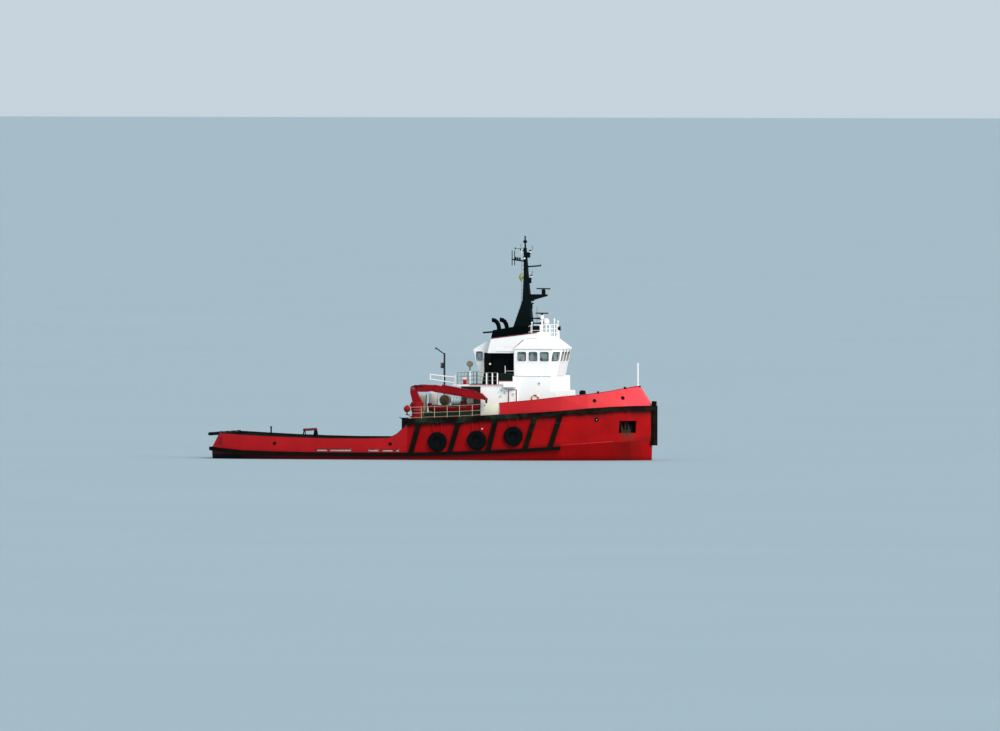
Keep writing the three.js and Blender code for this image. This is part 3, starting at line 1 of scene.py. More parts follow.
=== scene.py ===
# %% [markdown]
# A deep-sea towing tug, afloat. The hull, house, mast, crane and every moving part come from a CAD model,
# which stays as it is. This lesson paints it, adds the small fittings that a hull picks up in service, and
# lights it for a telephoto view from the starboard side.

# %% Load the frame
import math

import bmesh
import bpy
from mathutils import Matrix, Vector


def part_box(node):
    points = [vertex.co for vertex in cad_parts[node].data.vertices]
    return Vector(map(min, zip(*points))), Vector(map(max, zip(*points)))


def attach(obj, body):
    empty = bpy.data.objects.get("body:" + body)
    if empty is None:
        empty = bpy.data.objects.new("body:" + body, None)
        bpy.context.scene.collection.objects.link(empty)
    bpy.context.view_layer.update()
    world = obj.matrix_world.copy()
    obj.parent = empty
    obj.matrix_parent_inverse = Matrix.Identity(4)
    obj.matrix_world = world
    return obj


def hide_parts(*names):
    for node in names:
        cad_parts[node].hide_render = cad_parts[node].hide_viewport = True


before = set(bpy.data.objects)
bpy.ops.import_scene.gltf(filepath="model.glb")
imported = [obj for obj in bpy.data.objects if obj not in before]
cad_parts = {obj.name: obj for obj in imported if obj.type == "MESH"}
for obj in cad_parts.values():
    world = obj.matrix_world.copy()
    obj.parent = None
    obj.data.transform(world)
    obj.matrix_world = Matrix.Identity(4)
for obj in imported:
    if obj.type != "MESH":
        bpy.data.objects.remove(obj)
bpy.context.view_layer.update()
VESSEL = "vessel"

# %% [markdown]
# The camera comes first, because everything else is judged through it. The tug was seen from far away
# through a long lens, from a little above its mast, with the bow turned slightly towards us. So the camera
# stands a mile off and its lens is very long, which keeps the decks nearly edge on.

# %% Camera
PICTURE_WIDTH = 1000
PICTURE_HEIGHT = 731
SENSOR_WIDTH = 36.0
LENS = 720.0
CAMERA_DISTANCE = 1646.0
CAMERA_HEIGHT = 28.5
BEARING = math.radians(13.5)
HORIZON_ROW = 112.9
ORIGIN_COLUMN = 438.1
CAMERA_ROLL = 0.002


def make_camera():
    pixels_per_radian = LENS / SENSOR_WIDTH * PICTURE_WIDTH
    place = Vector((
        CAMERA_DISTANCE * math.sin(BEARING), -CAMERA_DISTANCE * math.cos(BEARING), CAMERA_HEIGHT,
    ))
    turn = (PICTURE_WIDTH / 2 - ORIGIN_COLUMN) / pixels_per_radian
    tilt = (PICTURE_HEIGHT / 2 - HORIZON_ROW) / pixels_per_radian
    level = Vector((-math.sin(BEARING - turn), math.cos(BEARING - turn), 0.0))
    sight = (level * math.cos(tilt) - Vector((0, 0, math.sin(tilt)))).normalized()
    right = sight.cross(Vector((0, 0, 1))).normalized()
    up = right.cross(sight)
    basis = Matrix((right, up, -sight)).transposed() @ Matrix.Rotation(CAMERA_ROLL, 3, "Z")
    data = bpy.data.cameras.new("telephoto")
    data.lens = LENS
    data.sensor_width = SENSOR_WIDTH
    data.clip_start = 10.0
    data.clip_end = 250000.0
    camera = bpy.data.objects.new("telephoto", data)
    camera.matrix_world = Matrix.Translation(place) @ basis.to_4x4()
    bpy.context.scene.collection.objects.link(camera)
    bpy.context.scene.camera = camera
    return camera


print("camera at", [round(v, 1) for v in make_camera().matrix_world.translation])

# %% [markdown]
# Shader nodes are wired by short helpers. `place` puts down a node and fills its sockets, each with a plain
# value or with another node's output. `sums`, `product`, `split`, `noise` and `mix` cover the nodes that
# paint recipes use most.


# %% Wiring helpers
def srgb(red, green, blue):
    """A colour as seen on a screen, 0 to 255, turned into the linear values that a shader works in."""
    shares = [channel / 255 for channel in (red, green, blue)]
    return (*(s / 12.92 if s <= 0.04045 else ((s + 0.055) / 1.055) ** 2.4 for s in shares), 1.0)


def feed(tree, socket, value):
    if isinstance(value, bpy.types.NodeSocket):
        tree.links.new(value, socket)
    else:
        socket.default_value = value


def place(tree, kind, values=(), **settings):
    node = tree.nodes.new(kind)
    for key, value in settings.items():
        setattr(node, key, value)
    for key, value in dict(values).items():
        feed(tree, node.inputs[key], value)
    return node


def sums(tree, operation, first, second=0.0, third=0.0):
    node = place(tree, "ShaderNodeMath", {0: first, 1: second, 2: third}, operation=operation)
    return node.outputs[0]


def product(tree, first, *others):
    """Multiplies sockets and numbers from left to right."""
    for other in others:
        first = sums(tree, "MULTIPLY", first, other)
    return first


def split(tree, vector):
    """The X, Y and Z of a vector, as three sockets."""
    return place(tree, "ShaderNodeSeparateXYZ", {0: vector}).outputs


def noise(tree, vector, scale, detail):
    return place(tree, "ShaderNodeTexNoise",
                 {"Vector": vector, "Scale": scale, "Detail": detail}).outputs[0]


def mix(tree, factor, first, second, blend="MIX"):
    node = place(tree, "ShaderNodeMix", {0: factor, 6: first, 7: second}, data_type="RGBA",
                 blend_type=blend)
    return node.outputs[2]


def ramp(tree, value, low, high):
    """0 below low, 1 above high and a soft step between them."""
    node = place(tree, "ShaderNodeMapRange", {
        "Value": value, "From Min": low, "From Max": high, "To Min": 0.0, "To Max": 1.0,
    }, interpolation_type="SMOOTHSTEP")
    return node.outputs["Result"]


def new_group(name, inputs, outputs):
    """A node group with named sockets. A vector's default is None, and a number's is its value."""
    tree = bpy.data.node_groups.new(name, "ShaderNodeTree")
    for socket, default in inputs.items():
        kind = "NodeSocketVector" if default is None else "NodeSocketFloat"
        made = tree.interface.new_socket(name=socket, in_out="INPUT", socket_type=kind)
        if default is not None:
            made.default_value = default
    for socket in outputs:
        tree.interface.new_socket(name=socket, in_out="OUTPUT", socket_type="NodeSocketFloat")
    return tree, tree.nodes.new("NodeGroupInput").outputs, tree.nodes.new("NodeGroupOutput").inputs


def use(tree, group, **values):
    """Places a node group and returns its outputs. A socket's spaces are written as underscores."""
    node = tree.nodes.new("ShaderNodeGroup")
    node.node_tree = group
    for key, value in values.items():
        feed(tree, node.inputs[key.replace("_", " ")], value)
    return node.outputs


# %% [markdown]
# Rust runs are thin vertical streaks that start at a seam or a fitting and fade downwards. Painting them by
# hand on every plate would take days, so one group squeezes a noise pattern sideways: the noise is
# stretched along Z, cut to its highest peaks and broken up by a second, larger noise, so that runs come in
# clusters.


# %% Run stains
def make_run_stains():
    tree, given, out = new_group(
        "Run stains", {"Place": None, "Width": 0.1, "Stretch": 12.0, "Amount": 0.4}, ["Mask"],
    )
    axes = split(tree, given["Place"])
    tall = product(tree, given["Width"], given["Stretch"])
    squeezed = place(tree, "ShaderNodeCombineXYZ", {
        0: sums(tree, "DIVIDE", axes[0], given["Width"]),
        1: sums(tree, "DIVIDE", axes[1], given["Width"]),
        2: sums(tree, "DIVIDE", axes[2], tall),
    }).outputs[0]
    streaks = noise(tree, squeezed, 1.0, 3.0)
    clusters = noise(tree, given["Place"], 0.7, 2.0)
    cut = sums(tree, "SUBTRACT", 0.8, product(tree, given["Amount"], 0.4))
    step = place(tree, "ShaderNodeMapRange", {
        "Value": streaks, "From Min": cut, "From Max": sums(tree, "ADD", cut, 0.12),
    }).outputs["Result"]
    tree.links.new(product(tree, step, ramp(tree, clusters, 0.38, 0.6)), out["Mask"])
    return tree


RUN_STAINS = make_run_stains()
print("made", RUN_STAINS.name)

# %% [markdown]
# Weathered paint is never one colour. Old coats chalk, new patches are brighter, and salt dulls the lot. A
# group mixes a broad noise with a fine one into a brightness factor around 1, so each paint multiplies its
# own colour by it. The same fine noise comes out as a height for a gentle bump, like roller texture over
# plate.


# %% Chalky paint
def make_chalky_paint():
    tree, given, out = new_group("Chalky paint", {"Place": None, "Patch": 2.5, "Depth": 0.15},
                                 ["Shade", "Height"])
    spread = sums(tree, "DIVIDE", 1.0, given["Patch"])
    broad = noise(tree, given["Place"], spread, 3.0)
    fine = noise(tree, given["Place"], 9.0, 4.0)
    both = sums(tree, "ADD", product(tree, broad, 0.75), product(tree, fine, 0.25))
    swing = product(tree, sums(tree, "SUBTRACT", both, 0.5), product(tree, given["Depth"], 4.0))
    tree.links.new(sums(tree, "ADD", 1.0, swing), out["Shade"])
    tree.links.new(fine, out["Height"])
    return tree


CHALKY_PAINT = make_chalky_paint()
print("made", CHALKY_PAINT.name)

# %% [markdown]
# Ships are painted by level and by side: decks one colour, topsides another, and the band at the waterline
# a third. Three small groups turn a point and its normal into such masks: a soft band between two heights,
# the faces that look up, and the faces of a bulwark that look outboard.


# %% Paint lines
def make_height_band():
    tree, given, out = new_group("Height band", {"Place": None, "Low": 0.0, "High": 1.0, "Softness": 0.02},
                                 ["Mask"])
    height = split(tree, given["Place"])[2]
    rise = sums(tree, "DIVIDE", sums(tree, "SUBTRACT", height, given["Low"]), given["Softness"])
    fall = sums(tree, "DIVIDE", sums(tree, "SUBTRACT", given["High"], height), given["Softness"])
    low = place(tree, "ShaderNodeClamp", {"Value": rise}).outputs[0]
    high = place(tree, "ShaderNodeClamp", {"Value": fall}).outputs[0]
    tree.links.new(product(tree, low, high), out["Mask"])
    return tree


def make_upward_faces():
    tree, given, out = new_group("Upward faces", {"Normal": None}, ["Mask"])
    lift = split(tree, given["Normal"])[2]
    tree.links.new(ramp(tree, lift, 0.55, 0.75), out["Mask"])
    return tree


def make_outboard_faces():
    tree, given, out = new_group("Outboard faces", {"Place": None, "Normal": None, "Centre": 0.0}, ["Mask"])
    spot = split(tree, given["Place"])
    facing = split(tree, given["Normal"])
    along = product(tree, sums(tree, "SUBTRACT", spot[0], given["Centre"]), facing[0])
    across = product(tree, spot[1], facing[1])
    tree.links.new(ramp(tree, sums(tree, "ADD", along, across), -0.1, 0.4), out["Mask"])
    return tree


HEIGHT_BAND = make_height_band()
UPWARD_FACES = make_upward_faces()
OUTBOARD_FACES = make_outboard_faces()


def height_mask(tree, where, low, high, softness=0.02):
    return use(tree, HEIGHT_BAND, Place=where["Object"], Low=low, High=high, Softness=softness)["Mask"]


def facing_up(tree, where):
    return use(tree, UPWARD_FACES, Normal=where["Normal"])["Mask"]


def chalk_shade(tree, where, patch, depth):
    """The chalky brightness factor, which also serves as a cloud to break a mask up with."""
    return use(tree, CHALKY_PAINT, Place=where["Object"], Patch=patch, Depth=depth)["Shade"]


print("node groups", [tree.name for tree in bpy.data.node_groups])

# %% [markdown]
# One recipe makes every paint on board. It starts from a colour, lets a caller lay other colours over it
# through masks, multiplies the chalky shade in, and finishes with rust runs. Rust is also rougher than
# paint, so the same mask raises the roughness. Uniform values sit on the shader's own sockets.

# %% Paint recipe
RUST = srgb(96, 48, 26)


def painted(name, colour, layers=None, patch=2.5, depth=0.12, stains=0.25, stain_width=0.08,
            stain_colour=RUST, roughness=0.5, metallic=0.0, bump=0.02, coat=0.0, gloss=0.1):
    material = bpy.data.materials.new(name)
    material.use_nodes = True
    tree = material.node_tree
    shader = tree.nodes["Principled BSDF"]
    where = place(tree, "ShaderNodeTexCoord").outputs
    chalk = use(tree, CHALKY_PAINT, Place=where["Object"], Patch=patch, Depth=depth)
    runs = use(tree, RUN_STAINS, Place=where["Object"], Width=stain_width, Amount=stains)["Mask"]
    finish = colour
    for mask, over in (layers(tree, where) if layers else []):
        finish = mix(tree, mask, finish, over)
    shaded = mix(tree, 1.0, finish, place(tree, "ShaderNodeCombineColor", {
        0: chalk["Shade"], 1: chalk["Shade"], 2: chalk["Shade"],
    }).outputs[0], blend="MULTIPLY")
    feed(tree, shader.inputs["Base Color"], mix(tree, product(tree, runs, 0.75), shaded, stain_colour))
    rough = sums(tree, "ADD", roughness - 0.1, product(tree, chalk["Height"], 0.2))
    feed(tree, shader.inputs["Roughness"], sums(tree, "ADD", rough, product(tree, runs, 0.25)))
    shader.inputs["Metallic"].default_value = metallic
    shader.inputs["Coat Weight"].default_value = coat
    shader.inputs["Specular IOR Level"].default_value = gloss
    ripple = place(tree, "ShaderNodeBump", {"Strength": 0.3, "Distance": bump, "Height": chalk["Height"]})
    feed(tree, shader.inputs["Normal"], ripple.outputs[0])
    return material


# %% [markdown]
# The hull carries three paints. Red topsides fade to a darker red near the waterline, everything below it
# is brown-red antifouling, and all decks are dark green. Low on the stern the red is darker and under the
# counter
# near black: painted shade where the plating tucks in under the fender. Masks by height and by facing
# direction keep each in its place, the way a painter follows a chalk line.

# %% Hull paints
HULL_RED = srgb(156, 3, 6)
LOW_RED = srgb(108, 3, 5)
AFT_RED = srgb(122, 16, 18)
# A dark red for the painted shade low on the stern, and for a real smear at the bow.
SHADE_AND_SMEAR_RED = srgb(52, 14, 14)
ANTIFOULING = srgb(86, 24, 22)
DECK_GREEN = srgb(34, 62, 46)
DARK_GREEN = srgb(14, 26, 23)
CREAM = srgb(226, 222, 208)
WHITE = srgb(250, 246, 243)
NEAR_BLACK = srgb(9, 13, 15)


# x and z of each tyre's middle.
TYRES = [(1.17, 1.52), (4.49, 1.65), (7.57, 2.0)]


def rubbed_by_tyres(tree, where, axes):
    """Black rubber marks on the plating behind the tyres that hang over the side."""
    ragged = chalk_shade(tree, where, 0.3, 0.3)
    marks = 0.0
    for x, z in TYRES:
        off_x, off_z = sums(tree, "SUBTRACT", axes[0], x), sums(tree, "SUBTRACT", axes[2], z)
        reach = sums(tree, "SQRT",
                     sums(tree, "ADD", sums(tree, "POWER", off_x, 2.0), sums(tree, "POWER", off_z, 2.0)))
        mark = ramp(tree, product(tree, reach, ragged), 0.72, 0.58)
        marks = mark if marks == 0.0 else sums(tree, "MAXIMUM", marks, mark)
    return marks


def grime(tree, where, height, reach):
    """Smudges that thin out within reach of a line, as dirt gathers there. height is measured from it."""
    near = ramp(tree, sums(tree, "ABSOLUTE", height), reach, 0.0)
    cloud = chalk_shade(tree, where, 1.1, 0.5)
    return product(tree, near, ramp(tree, cloud, 0.7, 1.15))


def hull_layers(tree, where):
    axes = split(tree, where["Object"])
    aft = ramp(tree, axes[0], -1.4, -4.0)
    # Painted shade: darker red low on the stern and near black under the counter, where the hull tucks in
    # under the fender.
    stern_shade = product(tree, ramp(tree, axes[0], -9.5, -15.5), ramp(tree, axes[2], 0.75, 0.3))
    counter_shadow = product(tree, ramp(tree, axes[0], -15.2, -15.8), ramp(tree, axes[2], 0.5, 0.3))
    smear = product(tree, ramp(tree, axes[0], 14.6, 16.3), ramp(tree, axes[0], 17.9, 16.5))
    low = height_mask(tree, where, -9.0, 0.45, 0.5)
    under = height_mask(tree, where, -9.0, 0.02, 0.05)
    up = facing_up(tree, where)
    deck = product(tree, up, height_mask(tree, where, 0.4, 9.0))
    return [(aft, AFT_RED), (low, LOW_RED), (stern_shade, SHADE_AND_SMEAR_RED), (counter_shadow, NEAR_BLACK),
            (product(tree, smear, 0.35), SHADE_AND_SMEAR_RED), (rubbed_by_tyres(tree, where, axes), NEAR_BLACK),
            (under, ANTIFOULING), (deck, DECK_GREEN)]


def anchor_pocket_masks(tree, axes):
    """The inside of the pocket, painted near black as the shade in the recess, and the rusty plate below
    it.
    """
    centre_x, centre_y, turn, half, low, high = 16.45, 2.035, math.radians(42), 0.86, 2.24, 3.3
    off_x = sums(tree, "SUBTRACT", axes[0], centre_x)
    off_y = sums(tree, "SUBTRACT", sums(tree, "ABSOLUTE", axes[1]), centre_y)
    out = sums(tree, "ADD", product(tree, off_x, math.sin(turn)), product(tree, off_y, math.cos(turn)))
    length = sums(tree, "SUBTRACT", product(tree, off_x, math.cos(turn)),
                  product(tree, off_y, math.sin(turn)))
    beside = sums(tree, "LESS_THAN", sums(tree, "ABSOLUTE", length), half)
    height = product(tree, sums(tree, "GREATER_THAN", axes[2], low), sums(tree, "LESS_THAN", axes[2], high))
    pocket_shade = product(tree, beside, height, sums(tree, "LESS_THAN", out, -0.13))
    fade = product(tree, ramp(tree, axes[2], 1.5, low), sums(tree, "LESS_THAN", axes[2], low))
    narrow = ramp(tree, sums(tree, "ABSOLUTE", length), half, half * 0.4)
    below = product(tree, fade, narrow, sums(tree, "GREATER_THAN", out, -0.6))
    return pocket_shade, product(tree, below, 0.9)


def foredeck_layers(tree, where):
    axes = split(tree, where["Object"])
    garage_half, garage_top, garage_front = 3.91, 2.96, 3.62
    inside = product(
        tree, sums(tree, "LESS_THAN", sums(tree, "ABSOLUTE", axes[1]), garage_half),
        sums(tree, "LESS_THAN", axes[2], garage_top), sums(tree, "LESS_THAN", axes[0], garage_front),
    )
    up = facing_up(tree, where)
    pocket_shade, below = anchor_pocket_masks(tree, axes)
    knuckle = sums(tree, "ADD", 0.35, product(tree, axes[0], 0.07))
    top = sums(tree, "ADD", 3.12, product(tree, axes[0], 0.062))
    dirt = sums(tree, "MAXIMUM", grime(tree, where, sums(tree, "SUBTRACT", axes[2], top), 0.75),
                product(tree, grime(tree, where, sums(tree, "SUBTRACT", axes[2], knuckle), 0.5), 0.45))
    # The pocket's inside is painted near black: painted shade in the recess.
    return [(dirt, srgb(48, 8, 9)), (rubbed_by_tyres(tree, where, axes), NEAR_BLACK),
            (up, DECK_GREEN), (inside, CREAM),
            (below, srgb(84, 44, 32)), (pocket_shade, srgb(16, 12, 13))]


def bulwark_layers(centre, staff_foot, aft_colour=None):
    def layers(tree, where):
        axes = split(tree, where["Object"])
        # On the forward bulwark the red is painted darker aft and pink at the stem, where the plate turns
        # up and forward: painted highlight.
        bow_highlight = [(ramp(tree, axes[0], 16.0, 9.0), aft_colour)] if aft_colour else []
        bow_highlight += [(ramp(tree, axes[0], 15.6, 16.9), srgb(226, 62, 72))] if aft_colour else []
        out = use(tree, OUTBOARD_FACES, Place=where["Object"], Normal=where["Normal"],
                  Centre=centre)["Mask"]
        staff = height_mask(tree, where, staff_foot, 9.0)
        return bow_highlight + [(sums(tree, "SUBTRACT", 1.0, out), DARK_GREEN), (staff, WHITE)]
    return layers


hull_paint = painted("hull red", HULL_RED, hull_layers, stains=0.3, patch=3.0, depth=0.22)
foredeck_paint = painted("topside red", HULL_RED, foredeck_layers, stains=0.45, patch=1.8, depth=0.26,
                         stain_width=0.16, stain_colour=srgb(72, 12, 12))
aft_bulwark_paint = painted("aft bulwark red", srgb(172, 22, 28), bulwark_layers(-5.0, 9.0),
                            stains=0.34, patch=1.6,
                            depth=0.2, stain_width=0.14, stain_colour=srgb(112, 30, 24))
# The forward bulwark's lighter red is partly painted highlight, where its plate leans out towards the sky.
bow_bulwark_paint = painted("forward bulwark red", srgb(220, 40, 50),
                            bulwark_layers(8.0, 6.1, srgb(182, 22, 30)), stains=0.12, patch=4.0, gloss=0.2)
print("hull paints", [material.name for material in bpy.data.materials])

# %% [markdown]
# House paint is white and kept clean, with faint rust below seams. The mast and the funnel top are a
# blackish green. The platform beside the wheelhouse is green above a thin red line, so its paint needs one
# more set of height bands.


# %% House paints
def bridge_deck_layers(tree, where):
    axes = split(tree, where["Object"])
    up = facing_up(tree, where)
    outer = sums(tree, "GREATER_THAN", sums(tree, "ABSOLUTE", axes[1]), 2.2)
    fore = sums(tree, "GREATER_THAN", axes[0], 5.9)
    platform = product(tree, outer, fore)
    dark = height_mask(tree, where, 6.5, 7.2)
    line = height_mask(tree, where, 6.44, 6.52)
    lamp = height_mask(tree, where, 7.3, 9.0)
    return [
        (product(tree, platform, dark), DARK_GREEN),
        (product(tree, platform, line), HULL_RED),
        (up, DECK_GREEN),
        (lamp, srgb(112, 104, 88)),
    ]


def recess_shade_layers(tree, where):
    """The walls that the casings stand in front of are painted near black: painted shade in the recess
    behind the casings.
    """
    axes = split(tree, where["Object"])
    inner = sums(tree, "LESS_THAN", sums(tree, "ABSOLUTE", axes[1]), 1.32)
    span = product(tree, sums(tree, "GREATER_THAN", axes[0], 4.2), sums(tree, "LESS_THAN", axes[0], 7.12))
    low = height_mask(tree, where, 6.2, 8.8)
    return [(product(tree, inner, span, low), NEAR_BLACK)]


def deckhouse_layers(tree, where):
    """The part behind the rescue boat, aft of x 4.4, is a darker grey."""
    axes = split(tree, where["Object"])
    low = height_mask(tree, where, 3.0, 4.3, 0.8)
    spots = chalk_shade(tree, where, 0.22, 0.5)
    span = product(tree, ramp(tree, axes[0], 5.7, 6.2), ramp(tree, axes[0], 6.9, 6.6))
    span = product(tree, span, height_mask(tree, where, 4.7, 6.0))
    return [(ramp(tree, axes[0], 4.5, 4.35), srgb(120, 108, 102)),
            (product(tree, span, ramp(tree, spots, 1.05, 1.35)), srgb(150, 146, 116)),
            (product(tree, low, 0.35), srgb(160, 132, 122))]


def towing_layers(tree, where):
    legs = height_mask(tree, where, 0.0, 2.27)
    return [(legs, NEAR_BLACK)]


def casing_shade_layers(tree, where):
    # Below the white band the casing, its trunk and pillar are painted near black: painted shade of the
    # open space under the casing top.
    below = height_mask(tree, where, 0.0, 8.775, 0.005)
    return [(below, NEAR_BLACK)]


def deck_gear_layers(tree, where):
    axes = split(tree, where["Object"])
    pole = product(tree, sums(tree, "GREATER_THAN", axes[1], -2.0),
                   sums(tree, "GREATER_THAN", axes[2], 3.7))
    raft = product(tree, sums(tree, "GREATER_THAN", axes[0], 1.72),
                   sums(tree, "GREATER_THAN", axes[2], 4.4))
    raft_end = product(tree, raft, sums(tree, "GREATER_THAN", axes[0], 2.55))
    stand = product(tree, sums(tree, "GREATER_THAN", axes[0], 0.62), sums(tree, "LESS_THAN", axes[0], 1.72))
    return [(stand, srgb(74, 66, 50)), (pole, srgb(42, 46, 50)), (raft, srgb(206, 222, 222)),
            (raft_end, srgb(90, 150, 150))]


white_paint = painted("house white", WHITE, stains=0.12, patch=4.0, depth=0.04, stain_width=0.05,
                      roughness=0.42)
wall_paint = painted("wheelhouse white", WHITE, recess_shade_layers, stains=0.12, patch=4.0, depth=0.04,
                     stain_width=0.05)
stained_white = painted("stained white", srgb(255, 252, 249), deckhouse_layers, stains=0.18,
                        patch=2.0, depth=0.06, stain_width=0.09, stain_colour=srgb(160, 146, 120))
rail_white = painted("rail white", srgb(206, 204, 198), stains=0.25, depth=0.08, stain_width=0.05)
rail_grey = painted("rail grey", srgb(138, 140, 126), stains=0.3, depth=0.1, stain_width=0.05)
bridge_deck_paint = painted("bridge deck", WHITE, bridge_deck_layers, stains=0.2, depth=0.05)
casing_paint = painted("casing white", WHITE, casing_shade_layers, stains=0.15, depth=0.04, gloss=0.05)
gear_paint = painted("deck gear cream", srgb(214, 212, 200), deck_gear_layers, stains=0.5, stain_width=0.12,
                     stain_colour=srgb(150, 120, 90))
cream_paint = painted("rail cream", srgb(190, 180, 152), stains=0.45, depth=0.08, stain_width=0.05)
black_paint = painted("mast black", srgb(9, 20, 21), stains=0.05, depth=0.25, roughness=0.6, gloss=0.04)
cap_paint = painted("funnel top black", srgb(5, 12, 13), stains=0.05, depth=0.3, roughness=0.75, gloss=0.01)
wash_green = painted("wash board green", srgb(20, 38, 28), stains=0.5, depth=0.4, patch=0.7,
                     stain_width=0.1)
green_paint = painted("deck fitting green", DECK_GREEN, stains=0.35, depth=0.2, stain_width=0.05)
crane_paint = painted("crane red", srgb(136, 12, 22), stains=0.15, depth=0.25, patch=1.2, roughness=0.4)
maroon_paint = painted("cradle maroon", srgb(78, 6, 14), stains=0.2, depth=0.25, patch=0.6)
towing_paint = painted("towing beam red", srgb(112, 10, 14), towing_layers, stains=0.2,
                       depth=0.25, patch=0.8)
anchor_iron = painted("anchor iron", srgb(46, 38, 33), stains=0.5, depth=0.3, patch=0.5, stain_width=0.06,
                      roughness=0.8)
scanner_brown = painted("scanner brown", srgb(66, 52, 42), stains=0.0, depth=0.2, patch=0.6)
grey_paint = painted("steel grey", srgb(96, 100, 102), stains=0.4, depth=0.2,
                     stain_width=0.04, metallic=0.2)
bright_red = painted("safety red", srgb(200, 20, 24), stains=0.05, depth=0.1, roughness=0.4)
propeller_bronze = painted("propeller bronze", srgb(150, 118, 66), stains=0.1, depth=0.2, roughness=0.35,
                           metallic=0.9)
dark_fittings = painted("indoor grey", srgb(60, 64, 68), stains=0.0, depth=0.1, roughness=0.6)
lifebuoy_orange = painted("lifebuoy orange", srgb(188, 80, 54), stains=0.1, depth=0.15, roughness=0.6)
signal_yellow = painted("signal yellow", srgb(150, 154, 84), stains=0.1, depth=0.15)
print("with the house paints", len(bpy.data.materials), "materials")

# %% [markdown]
# Rubber fenders are matt, a little green where deck paint was slopped over them, and grey where other hulls
# have rubbed them. Wear shows as pale scuffs, so the run stains are wide and pale here. Rope and glass need
# recipes of their own: rope has a diagonal lay, and the wheelhouse glass is tinted and smooth, with pale
# blue-grey patches that are painted light, the sky seen through it.

# %% Rubber, rope and glass
def rubber_layers(tree, where):
    """The upper strip runs along the green deck edge, and green paint has been slopped over it."""
    high = height_mask(tree, where, 2.95, 4.4, 0.2)
    patches = chalk_shade(tree, where, 1.6, 0.5)
    axes = split(tree, where["Object"])
    bow = product(tree, ramp(tree, axes[0], 6.0, 14.0), ramp(tree, patches, 0.8, 1.2))
    side = height_mask(tree, where, 1.0, 2.9, 0.3)
    return [(product(tree, high, ramp(tree, patches, 0.9, 1.25)), srgb(30, 48, 34)),
            (product(tree, bow, high, 0.8), srgb(30, 12, 14)),
            (product(tree, side, ramp(tree, patches, 0.95, 1.3)), srgb(34, 24, 18))]


rubber = painted("fender rubber", srgb(16, 15, 13), rubber_layers, stains=0.3, stain_width=0.5,
                 stain_colour=srgb(44, 42, 38), depth=0.3, patch=0.8, roughness=0.85, bump=0.03, gloss=0.04)
tyre_rubber = painted("tyre rubber", srgb(10, 15, 16), stains=0.2, stain_width=0.2,
                      stain_colour=srgb(40, 42, 40), depth=0.25, patch=0.4, roughness=0.9, gloss=0.04)


def make_rope(name, colour, lay):
    material = painted(name, colour, stains=0.2, stain_width=0.3, depth=0.3, patch=0.2, roughness=0.9)
    tree = material.node_tree
    where = place(tree, "ShaderNodeTexCoord").outputs
    strands = place(tree, "ShaderNodeTexWave", {
        "Vector": where["Object"], "Scale": lay, "Distortion": 0.5,
    }, wave_type="BANDS", bands_direction="DIAGONAL").outputs["Fac"]
    twist = place(tree, "ShaderNodeBump", {"Strength": 0.8, "Distance": 0.01, "Height": strands})
    feed(tree, tree.nodes["Principled BSDF"].inputs["Normal"], twist.outputs[0])
    return material


rope_fibre = make_rope("rope fibre", srgb(120, 112, 82), 8.0)
wire_rope = make_rope("wire rope", srgb(58, 54, 48), 14.0)


def make_glass():
    material = bpy.data.materials.new("wheelhouse glass")
    material.use_nodes = True
    tree = material.node_tree
    shader = tree.nodes["Principled BSDF"]
    where = place(tree, "ShaderNodeTexCoord").outputs
    haze_and_sky = use(tree, CHALKY_PAINT, Place=where["Object"], Patch=0.5, Depth=0.5)
    # The pale blue-grey patches are painted light, the sky seen through the glass; the same pattern's
    # height gives the haze that roughens it.
    glass_and_sky = mix(tree, ramp(tree, haze_and_sky["Shade"], 0.75, 1.15), srgb(66, 70, 68), srgb(158, 174, 178))
    feed(tree, shader.inputs["Base Color"], glass_and_sky)
    feed(tree, shader.inputs["Roughness"], product(tree, haze_and_sky["Height"], 0.12))
    shader.inputs["Transmission Weight"].default_value = 0.35
    shader.inputs["IOR"].default_value = 1.5
    return material


glass = make_glass()
print("materials", len(bpy.data.materials))

# %% [markdown]
# Each CAD node now gets its finish from one table. Their meshes aren't touched: only the material slots
# change, and faces are shaded smooth across shallow edges, so that a drum's facets read as round.

# %% Dress the CAD nodes
FINISHES = {
    "hull": hull_paint, "raised_foredeck": foredeck_paint, "bulwark_forward": bow_bulwark_paint,
    "bulwark_aft": aft_bulwark_paint, "fender": rubber, "tyre": tyre_rubber, "anchor": anchor_iron,
    "nozzle": hull_paint, "propeller": propeller_bronze, "rudder": hull_paint, "winch": green_paint,
    "windlass": green_paint, "stern_rail": black_paint, "towing_beam": towing_paint,
    "deckhouse": stained_white, "deckhouse_door": stained_white, "bridge_deck": bridge_deck_paint,
    "wheelhouse": white_paint, "wheelhouse_walls": wall_paint, "wheelhouse_glass": glass,
    "wheelhouse_fittings": dark_fittings, "casing": casing_paint, "funnel_cap": cap_paint,
    "mast": black_paint, "radar_main": black_paint, "radar_upper": black_paint,
    "boat_deck_rail": cream_paint, "break_rail": cream_paint, "bridge_rail": rail_white,
    "roof_rail": white_paint, "crane": crane_paint, "crane_hook": anchor_iron, "rescue_boat": crane_paint,
    "boat_cradle": maroon_paint, "deck_gear": gear_paint, "rope_reel": rope_fibre, "davit": white_paint,
}
SMOOTH_ANGLE = math.radians(32)


def dress(node, material):
    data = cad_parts[node].data
    data.materials.clear()
    data.materials.append(material)
    data.polygons.foreach_set("use_smooth", [True] * len(data.polygons))
    data.set_sharp_from_angle(angle=SMOOTH_ANGLE)


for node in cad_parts:
    family = max((key for key in FINISHES if node.startswith(key)), key=len)
    dress(node, FINISHES[family])
print("dressed", len(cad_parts), "nodes")

